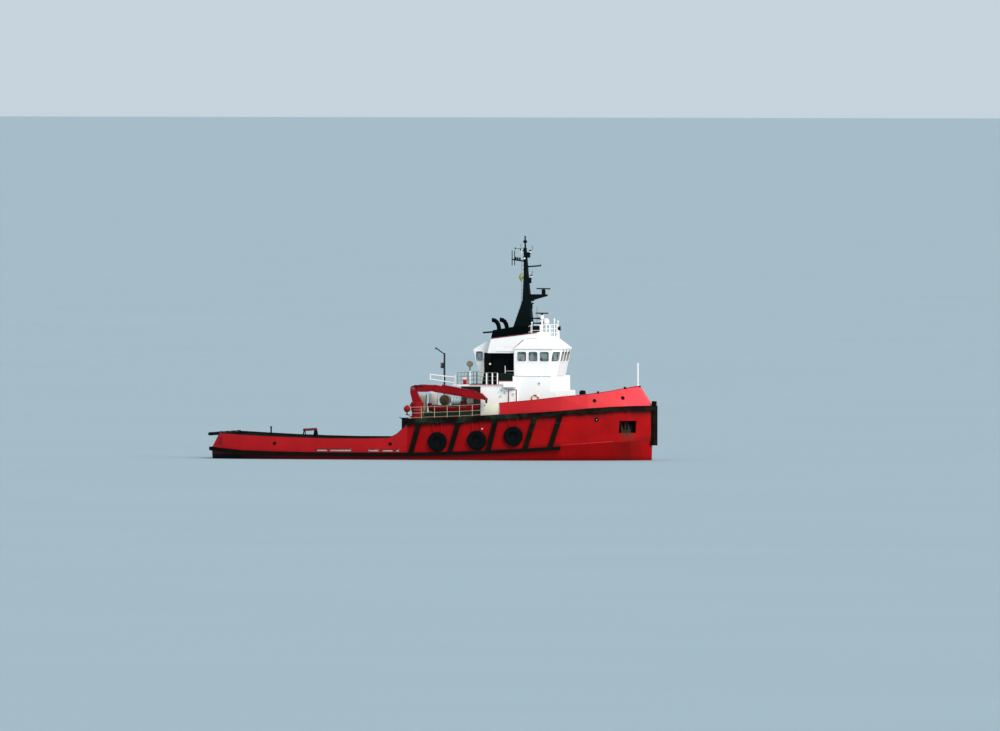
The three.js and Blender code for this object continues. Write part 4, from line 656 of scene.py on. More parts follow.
# %% [markdown]
# Fittings are made from a few basic forms, and most of them come down to one idea: a row of rings with the
# same number of points, joined by a skin. A rod has two rings, a bent pipe one at each bend, and a turned
# part such as a bollard one at each step of its profile. Boxes and flat plates have bevelled edges. `Kit`
# gathers many such forms into one object, which keeps the list of pieces short, and each form keeps its own
# material.


UP, DOWN = (0, 0, 1), (0, 0, -1)
SIDES = (-1, 1)
SIDE_NAMES = {1: "port", -1: "starboard"}


def square_to(axis):
    """Two directions at right angles to an axis and to each other."""
    axis = Vector(axis).normalized()
    helper = Vector(UP) if abs(axis.z) < 0.9 else Vector((1, 0, 0))
    side = helper.cross(axis).normalized()
    return side, axis.cross(side)


def ring(centre, side, up, radius, count):
    turns = [2 * math.pi * k / count for k in range(count)]
    return [Vector(centre) + radius * (math.cos(a) * side + math.sin(a) * up) for a in turns]


class Kit:
    """Gathers forms into one object, each with its own material."""

    def __init__(self):
        self.shape = bmesh.new()
        self.materials = []

    def add(self, part, material):
        if material not in self.materials:
            self.materials.append(material)
        bmesh.ops.recalc_face_normals(part, faces=part.faces[:])
        for face in part.faces:
            face.material_index = self.materials.index(material)
            face.smooth = True
        data = bpy.data.meshes.new("form")
        part.to_mesh(data)
        part.free()
        self.shape.from_mesh(data)
        bpy.data.meshes.remove(data)
        return self

    def skin(self, rings, material, closed=False):
        part = bmesh.new()
        rows = [[part.verts.new(point) for point in points] for points in rings]
        pairs = list(zip(rows, rows[1:])) + ([(rows[-1], rows[0])] if closed else [])
        for low, high in pairs:
            for k in range(len(low)):
                after = (k + 1) % len(low)
                part.faces.new((low[k], low[after], high[after], high[k]))
        if not closed:
            part.faces.new(rows[0])
            part.faces.new(rows[-1])
        return self.add(part, material)

    def box(self, first, second, material, bevel=0.012):
        low, high = Vector(map(min, first, second)), Vector(map(max, first, second))
        size = high - low
        part = bmesh.new()
        stretch = Matrix.Diagonal((*size, 1.0))
        bmesh.ops.create_cube(part, size=1.0, matrix=Matrix.Translation((low + high) / 2) @ stretch)
        width = min(bevel, min(size) / 3)
        bmesh.ops.bevel(part, geom=part.edges[:], offset=width, segments=2, profile=0.5, affect="EDGES")
        return self.add(part, material)

    def slab(self, outline, depth, material, bevel=0.006):
        """A flat plate: an outline of points, pushed along depth."""
        part = bmesh.new()
        face = part.faces.new([part.verts.new(point) for point in outline])
        grown = bmesh.ops.extrude_face_region(part, geom=[face])["geom"]
        moved = [item for item in grown if isinstance(item, bmesh.types.BMVert)]
        bmesh.ops.translate(part, verts=moved, vec=Vector(depth))
        width = min(bevel, Vector(depth).length / 3)
        bmesh.ops.bevel(part, geom=part.edges[:], offset=width, segments=1, profile=0.5, affect="EDGES")
        return self.add(part, material)

    def pipe(self, points, radius, material, count=8, closed=False):
        """A round bar through points, mitred at each bend."""
        points = [Vector(point) for point in points]
        last = len(points) - 1
        side, _ = square_to(points[1] - points[0])
        rings = []
        for k, point in enumerate(points):
            before = points[k - 1] if k or closed else point
            after = points[(k + 1) % len(points)] if k < last or closed else point
            heading = (after - before).normalized()
            side = (side - heading * side.dot(heading)).normalized()
            rings.append(ring(point, side, heading.cross(side), radius, count))
        return self.skin(rings, material, closed)

    def turned(self, centre, axis, profile, material, count=24):
        """A turned form: rows of (radius, distance along the axis)."""
        side, up = square_to(axis)
        axis = Vector(axis).normalized()
        rings = [ring(Vector(centre) + axis * far, side, up, max(radius, 0.001), count)
                 for radius, far in profile]
        return self.skin(rings, material)

    def hoop(self, centre, axis, radius, thickness, material, count=24, sides=8):
        side, up = square_to(axis)
        return self.pipe(ring(centre, side, up, radius, count), thickness, material, sides, closed=True)

    def done(self, name, body=VESSEL, stands_for=()):
        data = bpy.data.meshes.new(name)
        self.shape.to_mesh(data)
        self.shape.free()
        for material in self.materials:
            data.materials.append(material)
        data.set_sharp_from_angle(angle=SMOOTH_ANGLE)
        piece = bpy.data.objects.new(name, data)
        bpy.context.scene.collection.objects.link(piece)
        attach(piece, body)
        if stands_for:
            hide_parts(*stands_for)
        print(name, len(data.polygons), "faces on", body)
        return piece


# %% [markdown]
# Curved plating has no plain numbers to place a fitting by. A ray shot at the CAD mesh gives the point it
# meets and the way the plate faces there, so a rim lies flat on the hull whatever its slope. Lines such as
# a rail are kept as small tables, and `along` reads a table at any length.

# %% Landing on a plate
from mathutils.bvhtree import BVHTree


def landing(names, start, direction):
    """The nearest point that a ray meets on these CAD nodes, and the plate's outward normal."""
    hits = []
    for name in names.split():
        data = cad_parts[name].data
        tree = BVHTree.FromPolygons([v.co for v in data.vertices],
                                    [list(p.vertices) for p in data.polygons])
        point, normal, _, distance = tree.ray_cast(Vector(start), Vector(direction))
        if point is not None:
            hits.append((distance, point, normal))
    if not hits:
        raise ValueError(f"nothing on {names} lies in the way from {start}")
    return min(hits, key=lambda hit: hit[0])[1:]


def along(rows, x, column):
    """Reads a table of rows at x, on straight lines between them."""
    for low, high in zip(rows, rows[1:]):
        if x <= high[0]:
            share = max(0.0, (x - low[0]) / (high[0] - low[0]))
            return low[column] + share * (high[column] - low[column])
    return rows[-1][column]


# %% [markdown]
# Windows look like holes until they have frames. Each one gets a pale outer frame and a dark rubber seal
# inside it, run round the same rounded rectangle that the CAD cut out. Every wall stands at its own angle,
# so a window is given by its centre on the wall, the wall's level direction and its upward direction. The
# three front ones have wipers.

# %% Window frames
WINDOW_LOW, WINDOW_HIGH = 8.12, 8.88
WINDOW_CORNER = 0.12


def rounded_outline(centre, level, upward, width, height, corner, steps=4):
    level, upward = Vector(level).normalized(), Vector(upward).normalized()
    points = []
    for start, across, rise in ((-90, 1, -1), (0, 1, 1), (90, -1, 1), (180, -1, -1)):
        for step in range(steps + 1):
            angle = math.radians(start + 90 * step / steps)
            x = across * (width / 2 - corner) + corner * math.cos(angle)
            z = rise * (height / 2 - corner) + corner * math.sin(angle)
            points.append(Vector(centre) + level * x + upward * z)
    return points


def window_places():
    """Centre, level direction, upward direction and width of every wheelhouse window."""
    middle = (WINDOW_LOW + WINDOW_HIGH) / 2
    upright, raked_front, raked_aft = UP, (0.199, 0, 1), (-0.284, 0, 1)
    for side in SIDES:
        for x in (7.76, 8.71, 9.66):
            yield (x, side * 2.955, middle), (1, 0, 0), upright, 0.74
        yield (10.47, side * 2.277, middle), (0.347, -side * 0.938, 0), (0.175, side * 0.065, 1), 1.1
        yield (3.8, side * 1.305, middle), (1, 0, 0), upright, 0.56
        yield (3.435, side * 0.58, middle), (0, 1, 0), raked_aft, 0.86
    for y in (-1.04, 0.0, 1.04):
        yield (10.719, y, middle), (0, 1, 0), raked_front, 0.86


def make_window_frames():
    kit = Kit()
    for centre, level, upward, width in window_places():
        height = (WINDOW_HIGH - WINDOW_LOW) * Vector(upward).length
        outer = rounded_outline(centre, level, upward, width + 0.08, height + 0.08, WINDOW_CORNER + 0.04)
        inner = rounded_outline(centre, level, upward, width - 0.04, height - 0.04, WINDOW_CORNER - 0.02)
        kit.pipe(outer, 0.03, white_paint, 6, closed=True)
        kit.pipe(inner, 0.014, seal_grey, 6, closed=True)
    for y in (-1.04, 0.0, 1.04):
        foot, tip = Vector((10.84, y + 0.1, 8.97)), Vector((10.74, y - 0.14, 8.4))
        kit.pipe([foot, tip], 0.014, black_paint, 6)
        kit.pipe([tip + Vector((-0.055, 0.02, -0.26)), tip + Vector((0.05, -0.02, 0.26))], 0.016,
                 tyre_rubber, 6)
        kit.box(foot + Vector((-0.07, -0.05, -0.04)), foot + Vector((0.03, 0.05, 0.04)), grey_paint)
    return kit.done("window_frames")


seal_grey = painted("window seal", srgb(84, 84, 86), stains=0.0, depth=0.2, patch=0.3, roughness=0.8)
make_window_frames()

# %% [markdown]
# Mooring pipes are holes in the bulwark with a heavy rim, so that a rope doesn't chafe. Each hole is a dark
# disc inside its rim, painted shade. The hull also has small lamps near the deck, and the bulwark has
# freeing ports with pale hinged flaps that drain the deck.

# %% Openings in the plating
# Node, x, z and radius.
MOORING_PIPES = [
    ("bulwark_forward", 14.04, 4.92, 0.12), ("bulwark_forward", 16.15, 5.14, 0.14),
    ("bulwark_aft", -12.64, 1.30, 0.12), ("bulwark_aft", -2.85, 1.30, 0.12),
]
# x and z.
HULL_LAMPS = [(4.91, 2.59), (14.24, 3.37)]
# x of the aft and the forward end.
FREEING_PORTS = [(-9.16, -8.14), (-8.03, -6.1), (-4.78, -3.79), (-3.6, -2.58), (-2.43, -2.06)]
SHOT = 8.0


def make_plating_openings():
    kit = Kit()
    for node, x, z, radius in MOORING_PIPES:
        for side in SIDES:
            point, normal = landing(node, (x, side * SHOT, z), (0, -side, 0))
            kit.hoop(point, normal, radius, 0.035, maroon_paint)
            # The dark disc inside the rim is painted shade, standing for the hole.
            kit.turned(point, normal, [(radius, -0.02), (radius, 0.015), (radius * 0.3, 0.004)], hole_paint)
    for x, z in HULL_LAMPS:
        for side in SIDES:
            point, normal = landing("raised_foredeck", (x, side * SHOT, z), (0, -side, 0))
            dark = x > 6
            size = 1.5 if dark else 0.6
            body = black_paint if dark else rail_white
            kit.hoop(point + normal * 0.01, normal, 0.1 * size, 0.024 * size, body, 16)
            kit.turned(point, normal, [(0.085 * size, -0.01), (0.07 * size, 0.04), (0.02, 0.05)], body, 16)
            kit.turned(point + normal * 0.045, normal, [(0.035, 0.0), (0.03, 0.02), (0.01, 0.03)],
                       white_paint, 12)
    for x0, x1 in FREEING_PORTS:
        for side in SIDES:
            kit.box((x0 + 0.08, side * 4.855, 0.69), (x1 - 0.08, side * 4.875, 0.80), flap_paint, 0.004)
            for x in (x0 + 0.15, x1 - 0.15):
                kit.pipe([(x - 0.05, side * 4.88, 0.815), (x + 0.05, side * 4.88, 0.815)],
                         0.02, grey_paint, 6)
    return kit.done("plating_openings")


hole_paint = painted("unlit hole", srgb(26, 6, 9), stains=0.0, depth=0.3, roughness=0.9, gloss=0.05)
flap_paint = painted("flap grey", srgb(178, 172, 166), stains=0.15, stain_width=0.3, depth=0.1)
make_plating_openings()

# %% [markdown]
# A bulwark is thin plate, and it is stiff only because of the cap rail along its top and the brackets
# behind it. Both follow the CAD's rail line, which two tables repeat. The rail at the bow is dark red and
# the aft one nearly black. A bead along the knuckle of the bow catches the light, and its lighter red is a
# painted highlight.

# %% Cap rails, brackets and bead
# x, y and z of the deck edge, then x, y and z of the rail above it.
FORWARD_RAIL = [
    (6.4, 4.95, 3.78, 6.3, 4.80, 4.67), (9.0, 4.83, 3.93, 9.0, 4.62, 4.92),
    (11.4, 4.50, 4.10, 11.35, 4.25, 5.20), (13.6, 3.95, 4.30, 13.5, 3.60, 5.42),
    (15.4, 3.20, 4.43, 15.2, 2.75, 5.68), (16.6, 2.45, 4.48, 16.2, 1.95, 5.90),
    (17.3, 1.60, 4.50, 16.7, 1.15, 6.00), (18.05, 0.60, 4.50, 17.0, 0.45, 6.05),
]
# x, half-breadth, deck z and rail z.
AFT_RAIL = [
    (-17.6, 3.75, 1.00, 2.12), (-17.2, 4.50, 0.90, 2.08), (-15.5, 4.80, 0.74, 1.98),
    (-13.0, 4.90, 0.66, 1.86), (-10.5, 4.93, 0.62, 1.78), (-8.0, 4.95, 0.60, 1.73),
    (-5.0, 4.95, 0.60, 1.73), (-2.9, 4.95, 0.61, 1.80), (-2.3, 4.95, 0.62, 2.09), (-1.85, 4.95, 0.62, 2.50),
    (-1.45, 4.95, 0.62, 2.97),
]
KNUCKLE = [(11.4 + 0.41 * k, 1.28 + 0.03 * k) for k in range(11)]
HALF_PLATE = 0.06


def make_cap_rails():
    kit = Kit()
    for side in SIDES:
        fore = [(x, side * (y - HALF_PLATE), z + 0.01) for _, _, _, x, y, z in FORWARD_RAIL]
        kit.pipe(fore + [(16.98, 0.0, 6.06)], 0.05, bow_rail_paint)
        aft = [(x, side * (y - HALF_PLATE - 0.03), z + 0.01) for x, y, _, z in AFT_RAIL]
        kit.pipe([(-17.6, 0.0, 2.13)] + aft, 0.05, aft_rail_paint)
        bead = [landing("hull raised_foredeck", (x, side * SHOT, z), (0, -side, 0))[0] for x, z in KNUCKLE]
        # The bead is painted in the lighter forward bulwark red, a painted highlight along the knuckle.
        kit.pipe(bead, 0.022, bow_bulwark_paint, 6)
    return kit.done("bulwark_cap_rails")


def make_brackets():
    kit = Kit()
    for side in SIDES:
        for step in range(13):
            x = -16.6 + step * 1.12
            y, low, high = (along(AFT_RAIL, x, column) for column in (1, 2, 3))
            outline = [
                (x, side * (y - 0.11), low - 0.01), (x, side * (y - 0.55), low - 0.01),
                (x, side * (y - 0.11), high - 0.1),
            ]
            kit.slab(outline, (0.03, 0, 0), green_paint)
        for step in range(9):
            x = 7.4 + step * 1.08
            y, low, rail_x, rail_y, high = (along(FORWARD_RAIL, x, column) for column in (1, 2, 3, 4, 5))
            outline = [
                (x, side * (y - 0.16), low - 0.01), (x, side * (y - 0.65), low - 0.01),
                (rail_x, side * (rail_y - 0.14), high - 0.12),
            ]
            kit.slab(outline, (0.03, 0, 0), green_paint)
    return kit.done("bulwark_brackets")


bow_rail_paint = painted("rail red", srgb(150, 20, 28), stains=0.3, depth=0.2)
aft_rail_paint = painted("rail dark", srgb(34, 12, 14), stains=0.3, depth=0.3)
make_cap_rails()
make_brackets()

# %% [markdown]
# Old tyres hang over the side as fenders, the one place where rubber is seen close. The CAD rings give
# their place and size, and these pieces stand for them: a carcass turned from a tyre's own profile, with
# two rows of tread blocks. Two short chains hang each tyre from the strip above. Chain links are hoops,
# each turned a quarter against the last.

# %% Tyres
# Radius, and distance across the tyre.
CARCASS = [
    (0.37, -0.10), (0.44, -0.145), (0.62, -0.15), (0.73, -0.135), (0.765, -0.09), (0.77, 0.0),
    (0.765, 0.09), (0.73, 0.135), (0.62, 0.15), (0.44, 0.145), (0.37, 0.10), (0.40, 0.05), (0.42, 0.0),
    (0.40, -0.05),
]
TREAD_BLOCKS = 26


def chain(kit, points, link, material):
    """Lays links along points, each one link further on and turned against the last."""
    points = [Vector(point) for point in points]
    for low, high in zip(points, points[1:]):
        span = high - low
        count = max(1, round(span.length / (link * 1.5)))
        side, up = square_to(span)
        for k in range(count):
            middle = low + span * ((k + 0.5) / count)
            across = side if k % 2 else up
            half, narrow = span.normalized() * link, across * link * 0.6
            corners = [(1, 0.4), (0.5, 1), (-0.5, 1), (-1, 0.4), (-1, -0.4), (-0.5, -1),
                       (0.5, -1), (1, -0.4)]
            kit.pipe([middle + half * a + narrow * b for a, b in corners], link * 0.24, material,
                     5, closed=True)


def make_tyre(name):
    low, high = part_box(name)
    middle = (low + high) / 2
    kit = Kit()
    outwards = ring((0, 0, 0), Vector((1, 0, 0)), Vector(UP), 1.0, 48)
    kit.skin([[middle + out * radius + Vector((0, across, 0)) for radius, across in CARCASS]
              for out in outwards],
             tyre_rubber, closed=True)
    for k in range(TREAD_BLOCKS):
        for across, shift in ((-0.125, 0.0), (0.025, 0.5)):
            angle = 2 * math.pi * (k + shift) / TREAD_BLOCKS
            out = Vector((math.cos(angle), 0, math.sin(angle)))
            around = Vector((-math.sin(angle), 0, math.cos(angle)))
            start = middle + out * 0.755 - around * 0.06 + Vector((0, across, 0))
            outline = [start, start + around * 0.12, start + around * 0.12 + out * 0.04, start + out * 0.04]
            kit.slab(outline, (0, 0.1, 0), tyre_rubber)
    for lean in (-0.28, 0.28):
        foot = middle + Vector((lean, 0, 0.5))
        chain(kit, [foot, (foot.x + lean * 0.4, foot.y, middle.z + 1.52)], 0.06, bow_rail_paint)
    kit.done(f"{name}_detailed", stands_for=(name,))


for node in [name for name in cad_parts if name.startswith("tyre")]:
    make_tyre(node)

# %% [markdown]
# Towing is what the ship is for, so the aft deck has its gear: two tow pins near the stern, a post, bitts
# to tie up to, hatches, and air pipes with bent heads. Each is a few turned or bent forms. The bitts stand
# in pairs on a base plate, with a cross bar.

# %% Deck fittings
# x and z of each deck.
MAIN_DECK = [(-18.2, 1.0), (-15.5, 0.74), (-13.0, 0.66), (-8.0, 0.60), (-1.4, 0.62)]
RAISED_DECK = [(-1.4, 3.40), (3.0, 3.58), (6.4, 3.78), (9.0, 3.93), (11.4, 4.10), (13.6, 4.30),
               (15.4, 4.43), (18, 4.5)]
# Radius, and height above the deck.
BITT = [(0.15, -0.02), (0.14, 0.5), (0.18, 0.53), (0.18, 0.58), (0.1, 0.62)]
POST = [(0.17, -0.02), (0.15, 0.1), (0.06, 0.14), (0.06, 1.8), (0.09, 1.83), (0.09, 1.9), (0.04, 1.93)]
TOW_PIN = [(0.2, -0.02), (0.2, 0.12), (0.13, 0.14), (0.12, 0.95), (0.17, 1.0), (0.17, 1.08), (0.1, 1.12)]
MUSHROOM = [(0.13, -0.02), (0.13, 0.42), (0.26, 0.5), (0.27, 0.56), (0.2, 0.66), (0.05, 0.7)]


def bitts(kit, x, y, z, material):
    kit.box((x - 0.55, y - 0.22, z - 0.01), (x + 0.55, y + 0.22, z + 0.04), material)
    for shift in (-0.33, 0.33):
        kit.turned((x + shift, y, z), UP, BITT, material, 20)
    kit.pipe([(x - 0.5, y, z + 0.36), (x + 0.5, y, z + 0.36)], 0.05, material)


def air_pipe(kit, x, y, z, height, material):
    bend = [(x, y, z - 0.02), (x, y, z + height)]
    bend += [(x + 0.12 - 0.12 * math.cos(a), y, z + height + 0.12 * math.sin(a))
             for a in (0.6, 1.2, 1.8, 2.4, 3.0)]
    kit.pipe(bend, 0.06, material)
    kit.hoop(bend[-1], UP, 0.06, 0.02, material, 12, 6)


def hatch(kit, x, y, z, half_x, half_y, material):
    kit.box((x - half_x, y - half_y, z - 0.02), (x + half_x, y + half_y, z + 0.2), material, 0.03)
    kit.box((x - half_x - 0.04, y - half_y - 0.04, z + 0.2),
            (x + half_x + 0.04, y + half_y + 0.04, z + 0.26), material)
    for shift in (-0.6, 0.6):
        kit.pipe([(x + shift * half_x, y - half_y - 0.07, z + 0.1),
                  (x + shift * half_x, y - half_y - 0.07, z + 0.27)],
                 0.02, grey_paint, 6)


def make_aft_gear():
    kit = Kit()
    z = along(MAIN_DECK, -14.15, 1)
    kit.turned((-14.15, 0.0, z), UP, POST, black_paint)
    for side in SIDES:
        kit.turned((-16.6, side * 0.55, along(MAIN_DECK, -16.6, 1)), UP, TOW_PIN, black_paint)
        bitts(kit, -15.4, side * 3.6, along(MAIN_DECK, -15.4, 1), black_paint)
        bitts(kit, -4.2, side * 3.9, along(MAIN_DECK, -4.2, 1), black_paint)
        for x in (-13.4, -9.2, -6.8):
            air_pipe(kit, x, side * 4.45, along(MAIN_DECK, x, 1), 0.75, green_paint)
        hatch(kit, -12.6, side * 2.9, along(MAIN_DECK, -12.6, 1), 0.4, 0.4, green_paint)
    for x in (-9.0, -7.4, -5.8, -4.2):
        z = along(MAIN_DECK, x, 1)
        kit.box((x - 0.06, -3.2, z - 0.02), (x + 0.06, 3.2, z + 0.06), wood)
    return kit.done("aft_deck_gear")


def make_fore_gear():
    kit = Kit()
    for side in SIDES:
        bitts(kit, 14.5, side * 1.9, along(RAISED_DECK, 14.5, 1), black_paint)
        bitts(kit, 11.6, side * 3.4, along(RAISED_DECK, 11.6, 1), black_paint)
        chain(kit, [(13.82, side * 0.78, 5.02), (14.3, side * 0.86, 4.72), (15.3, side * 1.1, 4.53)],
              0.075, grey_paint)
        kit.hoop((15.38, side * 1.12, 4.46), UP, 0.17, 0.05, black_paint)
        kit.box((14.22, side * 0.66, 4.33), (14.46, side * 1.06, 4.68), grey_paint)
    tall = [(0.2, -0.02), (0.2, 1.15), (0.27, 1.2), (0.27, 1.42), (0.2, 1.5), (0.05, 1.54)]
    kit.turned((12.85, -2.75, along(RAISED_DECK, 12.85, 1)), UP, tall, black_paint)
    hatch(kit, 11.4, 0.0, along(RAISED_DECK, 11.4, 1), 0.4, 0.5, green_paint)
    kit.turned((12.4, 1.6, along(RAISED_DECK, 12.4, 1)), UP, MUSHROOM, white_paint)
    return kit.done("foredeck_gear")


wood = painted("deck timber", srgb(96, 84, 68), stains=0.4, stain_width=0.03, depth=0.3,
               patch=0.3, roughness=0.8)
make_aft_gear()
make_fore_gear()

# %% [markdown]
# Rollers on the bow rail turn a mooring rope round the corner, so each sits in a small chock. The rail line
# runs inwards there, and the chock is seated on it by reading the same table. The staff at the stem gets
# its foot and its cap here too.

# %% Bow rail chocks
def make_rail_chocks():
    kit = Kit()
    for x in (14.24, 16.2):
        rows = [(row[3], row[4], row[5]) for row in FORWARD_RAIL]
        y, z = along(rows, x, 1), along(rows, x, 2)
        for side in SIDES:
            kit.turned((x, side * (y - HALF_PLATE), z - 0.02), UP,
                       [(0.11, 0.0), (0.11, 0.04), (0.08, 0.07), (0.08, 0.13), (0.12, 0.16), (0.05, 0.18)],
                       black_paint)
    kit.box((16.86, -0.28, 6.02), (17.06, 0.28, 6.12), black_paint)
    kit.turned((16.87, 0.0, 6.1), UP, [(0.09, 0.0), (0.06, 0.12), (0.05, 0.2)], white_paint, 12)
    kit.turned((16.87, 0.0, 7.93), UP, [(0.03, 0.0), (0.06, 0.03), (0.05, 0.06), (0.01, 0.07)],
               white_paint, 12)
    return kit.done("bow_rail_chocks")


make_rail_chocks()

# %% [markdown]
# The forward deck ends in a break above the low aft deck. A black plate closes the bulwark there, a red net
# float hangs at the corner, and a cream screen fills the gap between the boat's rail and the bulwark, where
# the deck edge would otherwise be open.

# %% At the break and the boat deck
def make_break_fittings():
    kit = Kit()
    for side in SIDES:
        outline = [(-1.88, 4.9, 2.5), (-1.29, 4.9, 2.98), (-1.29, 4.9, 3.48), (-1.86, 4.9, 3.46),
                   (-2.17, 4.9, 3.5), (-1.88, 4.9, 3.36)]
        kit.slab([(x, side * y, z) for x, y, z in outline], (0, side * 0.045, 0), black_paint)
        kit.box((5.13, side * 4.72, 3.68), (6.27, side * 4.78, 4.68), screen_paint)
        for x in (5.16, 5.7, 6.24):
            kit.pipe([(x, side * 4.72, 3.68), (x, side * 4.72, 4.7)], 0.03, cream_paint)
            kit.slab([(x, side * 4.72, 3.7), (x, side * 4.35, 3.7), (x, side * 4.72, 4.4)],
                     (0.02, 0, 0), cream_paint)
    ball = [(0.01, -0.28), (0.11, -0.26), (0.2, -0.2), (0.26, -0.1), (0.28, 0.0), (0.26, 0.1),
            (0.2, 0.2), (0.11, 0.26), (0.05, 0.28), (0.05, 0.33)]
    kit.turned((-1.51, -4.6, 4.18), UP, ball, crane_paint)
    kit.pipe([(-1.51, -4.6, 4.48), (-1.35, -4.55, 4.5), (-1.2, -4.5, 4.36)], 0.02, rope_fibre, 6)
    kit.box((-1.62, -4.72, 3.72), (-1.2, -4.48, 3.76), black_paint)
    kit.pipe([(-1.6, -4.6, 3.74), (-1.2, -4.6, 3.55)], 0.025, black_paint, 6)
    kit.pipe([(-1.51, -4.6, 3.74), (-1.51, -4.6, 3.95)], 0.05, black_paint)
    return kit.done("break_fittings")


screen_paint = painted("screen cream", srgb(228, 222, 200), stains=0.5, stain_width=0.12, depth=0.06,
                       stain_colour=srgb(150, 140, 110))
make_break_fittings()

# %% [markdown]
# Railings are thin: a few round bars on posts, hardly thicker than a thumb. The CAD keeps them as sturdy
# grids, so these stand for them at the same places. A row of points gives the posts' feet, and the bars run
# through points lifted straight above the feet, which makes a rail follow a sloping deck by itself.

# %% Railings
def thin_rail(node, feet, height, lifts, post, bar, material):
    kit = Kit()
    up = Vector(UP)
    feet = [Vector(foot) for foot in feet]
    for foot in feet:
        kit.pipe([foot - up * 0.01, foot + up * height], post, material, 6)
        kit.turned(foot, up, [(post * 2, -0.01), (post * 2, 0.012), (post, 0.02)], material, 8)
    for lift in lifts:
        kit.pipe([foot + up * lift for foot in feet], bar, material, 6)
    return kit.done(f"{node}_detailed", stands_for=(node,))


def make_railings():
    for side, name in SIDE_NAMES.items():
        feet = [(x, side * 4.82, along(RAISED_DECK, x, 1) + 0.01)
                for x in (-1.16, -0.25, 0.86, 1.93, 2.97, 4.05, 5.06)]
        thin_rail(f"boat_deck_rail_{name}", feet, 0.9, (0.05, 0.42, 0.9), 0.02, 0.015, cream_paint)
        feet = [(x, side * 3.43, 6.21) for x in (2.47, 3.32, 4.17, 5.02, 5.85)]
        thin_rail(f"bridge_rail_{name}", feet, 0.97, (0.33, 0.65, 0.97), 0.022, 0.016, rail_grey)
    feet = [(2.47, y, 6.21) for y in (-3.28, -2.19, -1.09, 0.0, 1.09, 2.19, 3.28)]
    thin_rail("bridge_rail_aft", feet, 0.97, (0.33, 0.65, 0.97), 0.022, 0.016, rail_grey)
    feet = [(-1.165, y, along(RAISED_DECK, -1.165, 1) + 0.01)
            for y in (-2.9, -1.93, -0.97, 0.0, 0.97, 1.93, 2.9)]
    thin_rail("break_rail", feet, 0.98, (0.33, 0.65, 0.98), 0.022, 0.018, cream_paint)


make_railings()

# %% [markdown]
# The deckhouse side has a weathertight door under a small canopy, a lifebuoy on the white wall, a round
# portlight and a storm rail above, and a ladder climbs the aft wall. The door is a moving body, so its dark
# red straps, its handles and its small round light ride on it and not on the wall. The wheelhouse doors get
# a pane and handles in the same way.

# %% Deckhouse fittings
DECKHOUSE_HALF = 3.45
DOOR_FACE = 3.51
BUOY_X, BUOY_Z, BUOY_RADIUS = 9.02, 5.08, 0.28
LADDER_X, LADDER_SIDES, LADDER_STEP = 2.3, (1.2, 1.6), 0.28


def portlight(kit, centre, axis, radius, rim, pane):
    kit.hoop(centre, axis, radius, 0.028, rim, 20)
    kit.turned(centre, axis, [(radius, -0.01), (radius, 0.008), (radius * 0.5, 0.014)], pane, 20)


def storm_rail(kit, start, end, out, material):
    """A hand rail on short feet. out points from the wall to the rail."""
    start, end, out = Vector(start), Vector(end), Vector(out)
    kit.pipe([start, start + out, end + out, end], 0.02, material, 6)
    kit.pipe([(start + end) / 2, (start + end) / 2 + out], 0.016, material, 6)


def make_deckhouse_fittings():
    kit = Kit()
    for side in SIDES:
        wall = side * DECKHOUSE_HALF
        roof = [(6.42, wall - side * 0.01, 6.0), (6.42, wall + side * 0.42, 5.98),
                (6.42, wall + side * 0.42, 6.16), (6.42, wall - side * 0.01, 6.3)]
        kit.slab(roof, (1.0, 0, 0), white_paint)
        for k in range(6):
            x = 6.5 + 0.17 * k
            kit.pipe([(x, wall + side * 0.4, 5.99), (x, wall + side * 0.4, 5.87)], 0.016, anchor_iron, 6)
        kit.hoop((BUOY_X, wall + side * 0.05, BUOY_Z), (0, 1, 0), BUOY_RADIUS, 0.05,
                 lifebuoy_orange, 32, 10)
        for quarter in range(4):
            turns = [math.radians(45 + 90 * quarter + step) for step in (-11, -4, 4, 11)]
            band = [(BUOY_X + BUOY_RADIUS * math.cos(a), wall + side * 0.05,
                     BUOY_Z + BUOY_RADIUS * math.sin(a))
                    for a in turns]
            kit.pipe(band, 0.055, screen_paint, 10)
        portlight(kit, (9.34, wall, 6.3), (0, side, 0), 0.13, white_paint, faded_glass)
        storm_rail(kit, (7.35, side * 2.95, 7.16), (10.1, side * 2.95, 7.16),
                   (0, side * 0.07, 0), white_paint)
        # A grey strip along the top of the deckhouse side is a painted shadow line under the wheelhouse's
        # ledge.
        kit.box((7.15, side * 3.43, 6.9), (10.34, side * 3.47, 6.94), grey_paint)
    for y in (-1.6, 0.0, 1.6):
        portlight(kit, (10.8, y, 5.2), (1, 0, 0), 0.15, white_paint, dark_glass)
    for y in LADDER_SIDES:
        kit.pipe([(LADDER_X, y, 3.55), (LADDER_X, y, 7.1), (2.5, y, 7.1)], 0.022, cream_paint, 6)
    for step in range(9):
        kit.pipe([(LADDER_X, y, 3.8 + step * LADDER_STEP) for y in LADDER_SIDES], 0.016, cream_paint, 6)
    return kit.done("deckhouse_fittings")


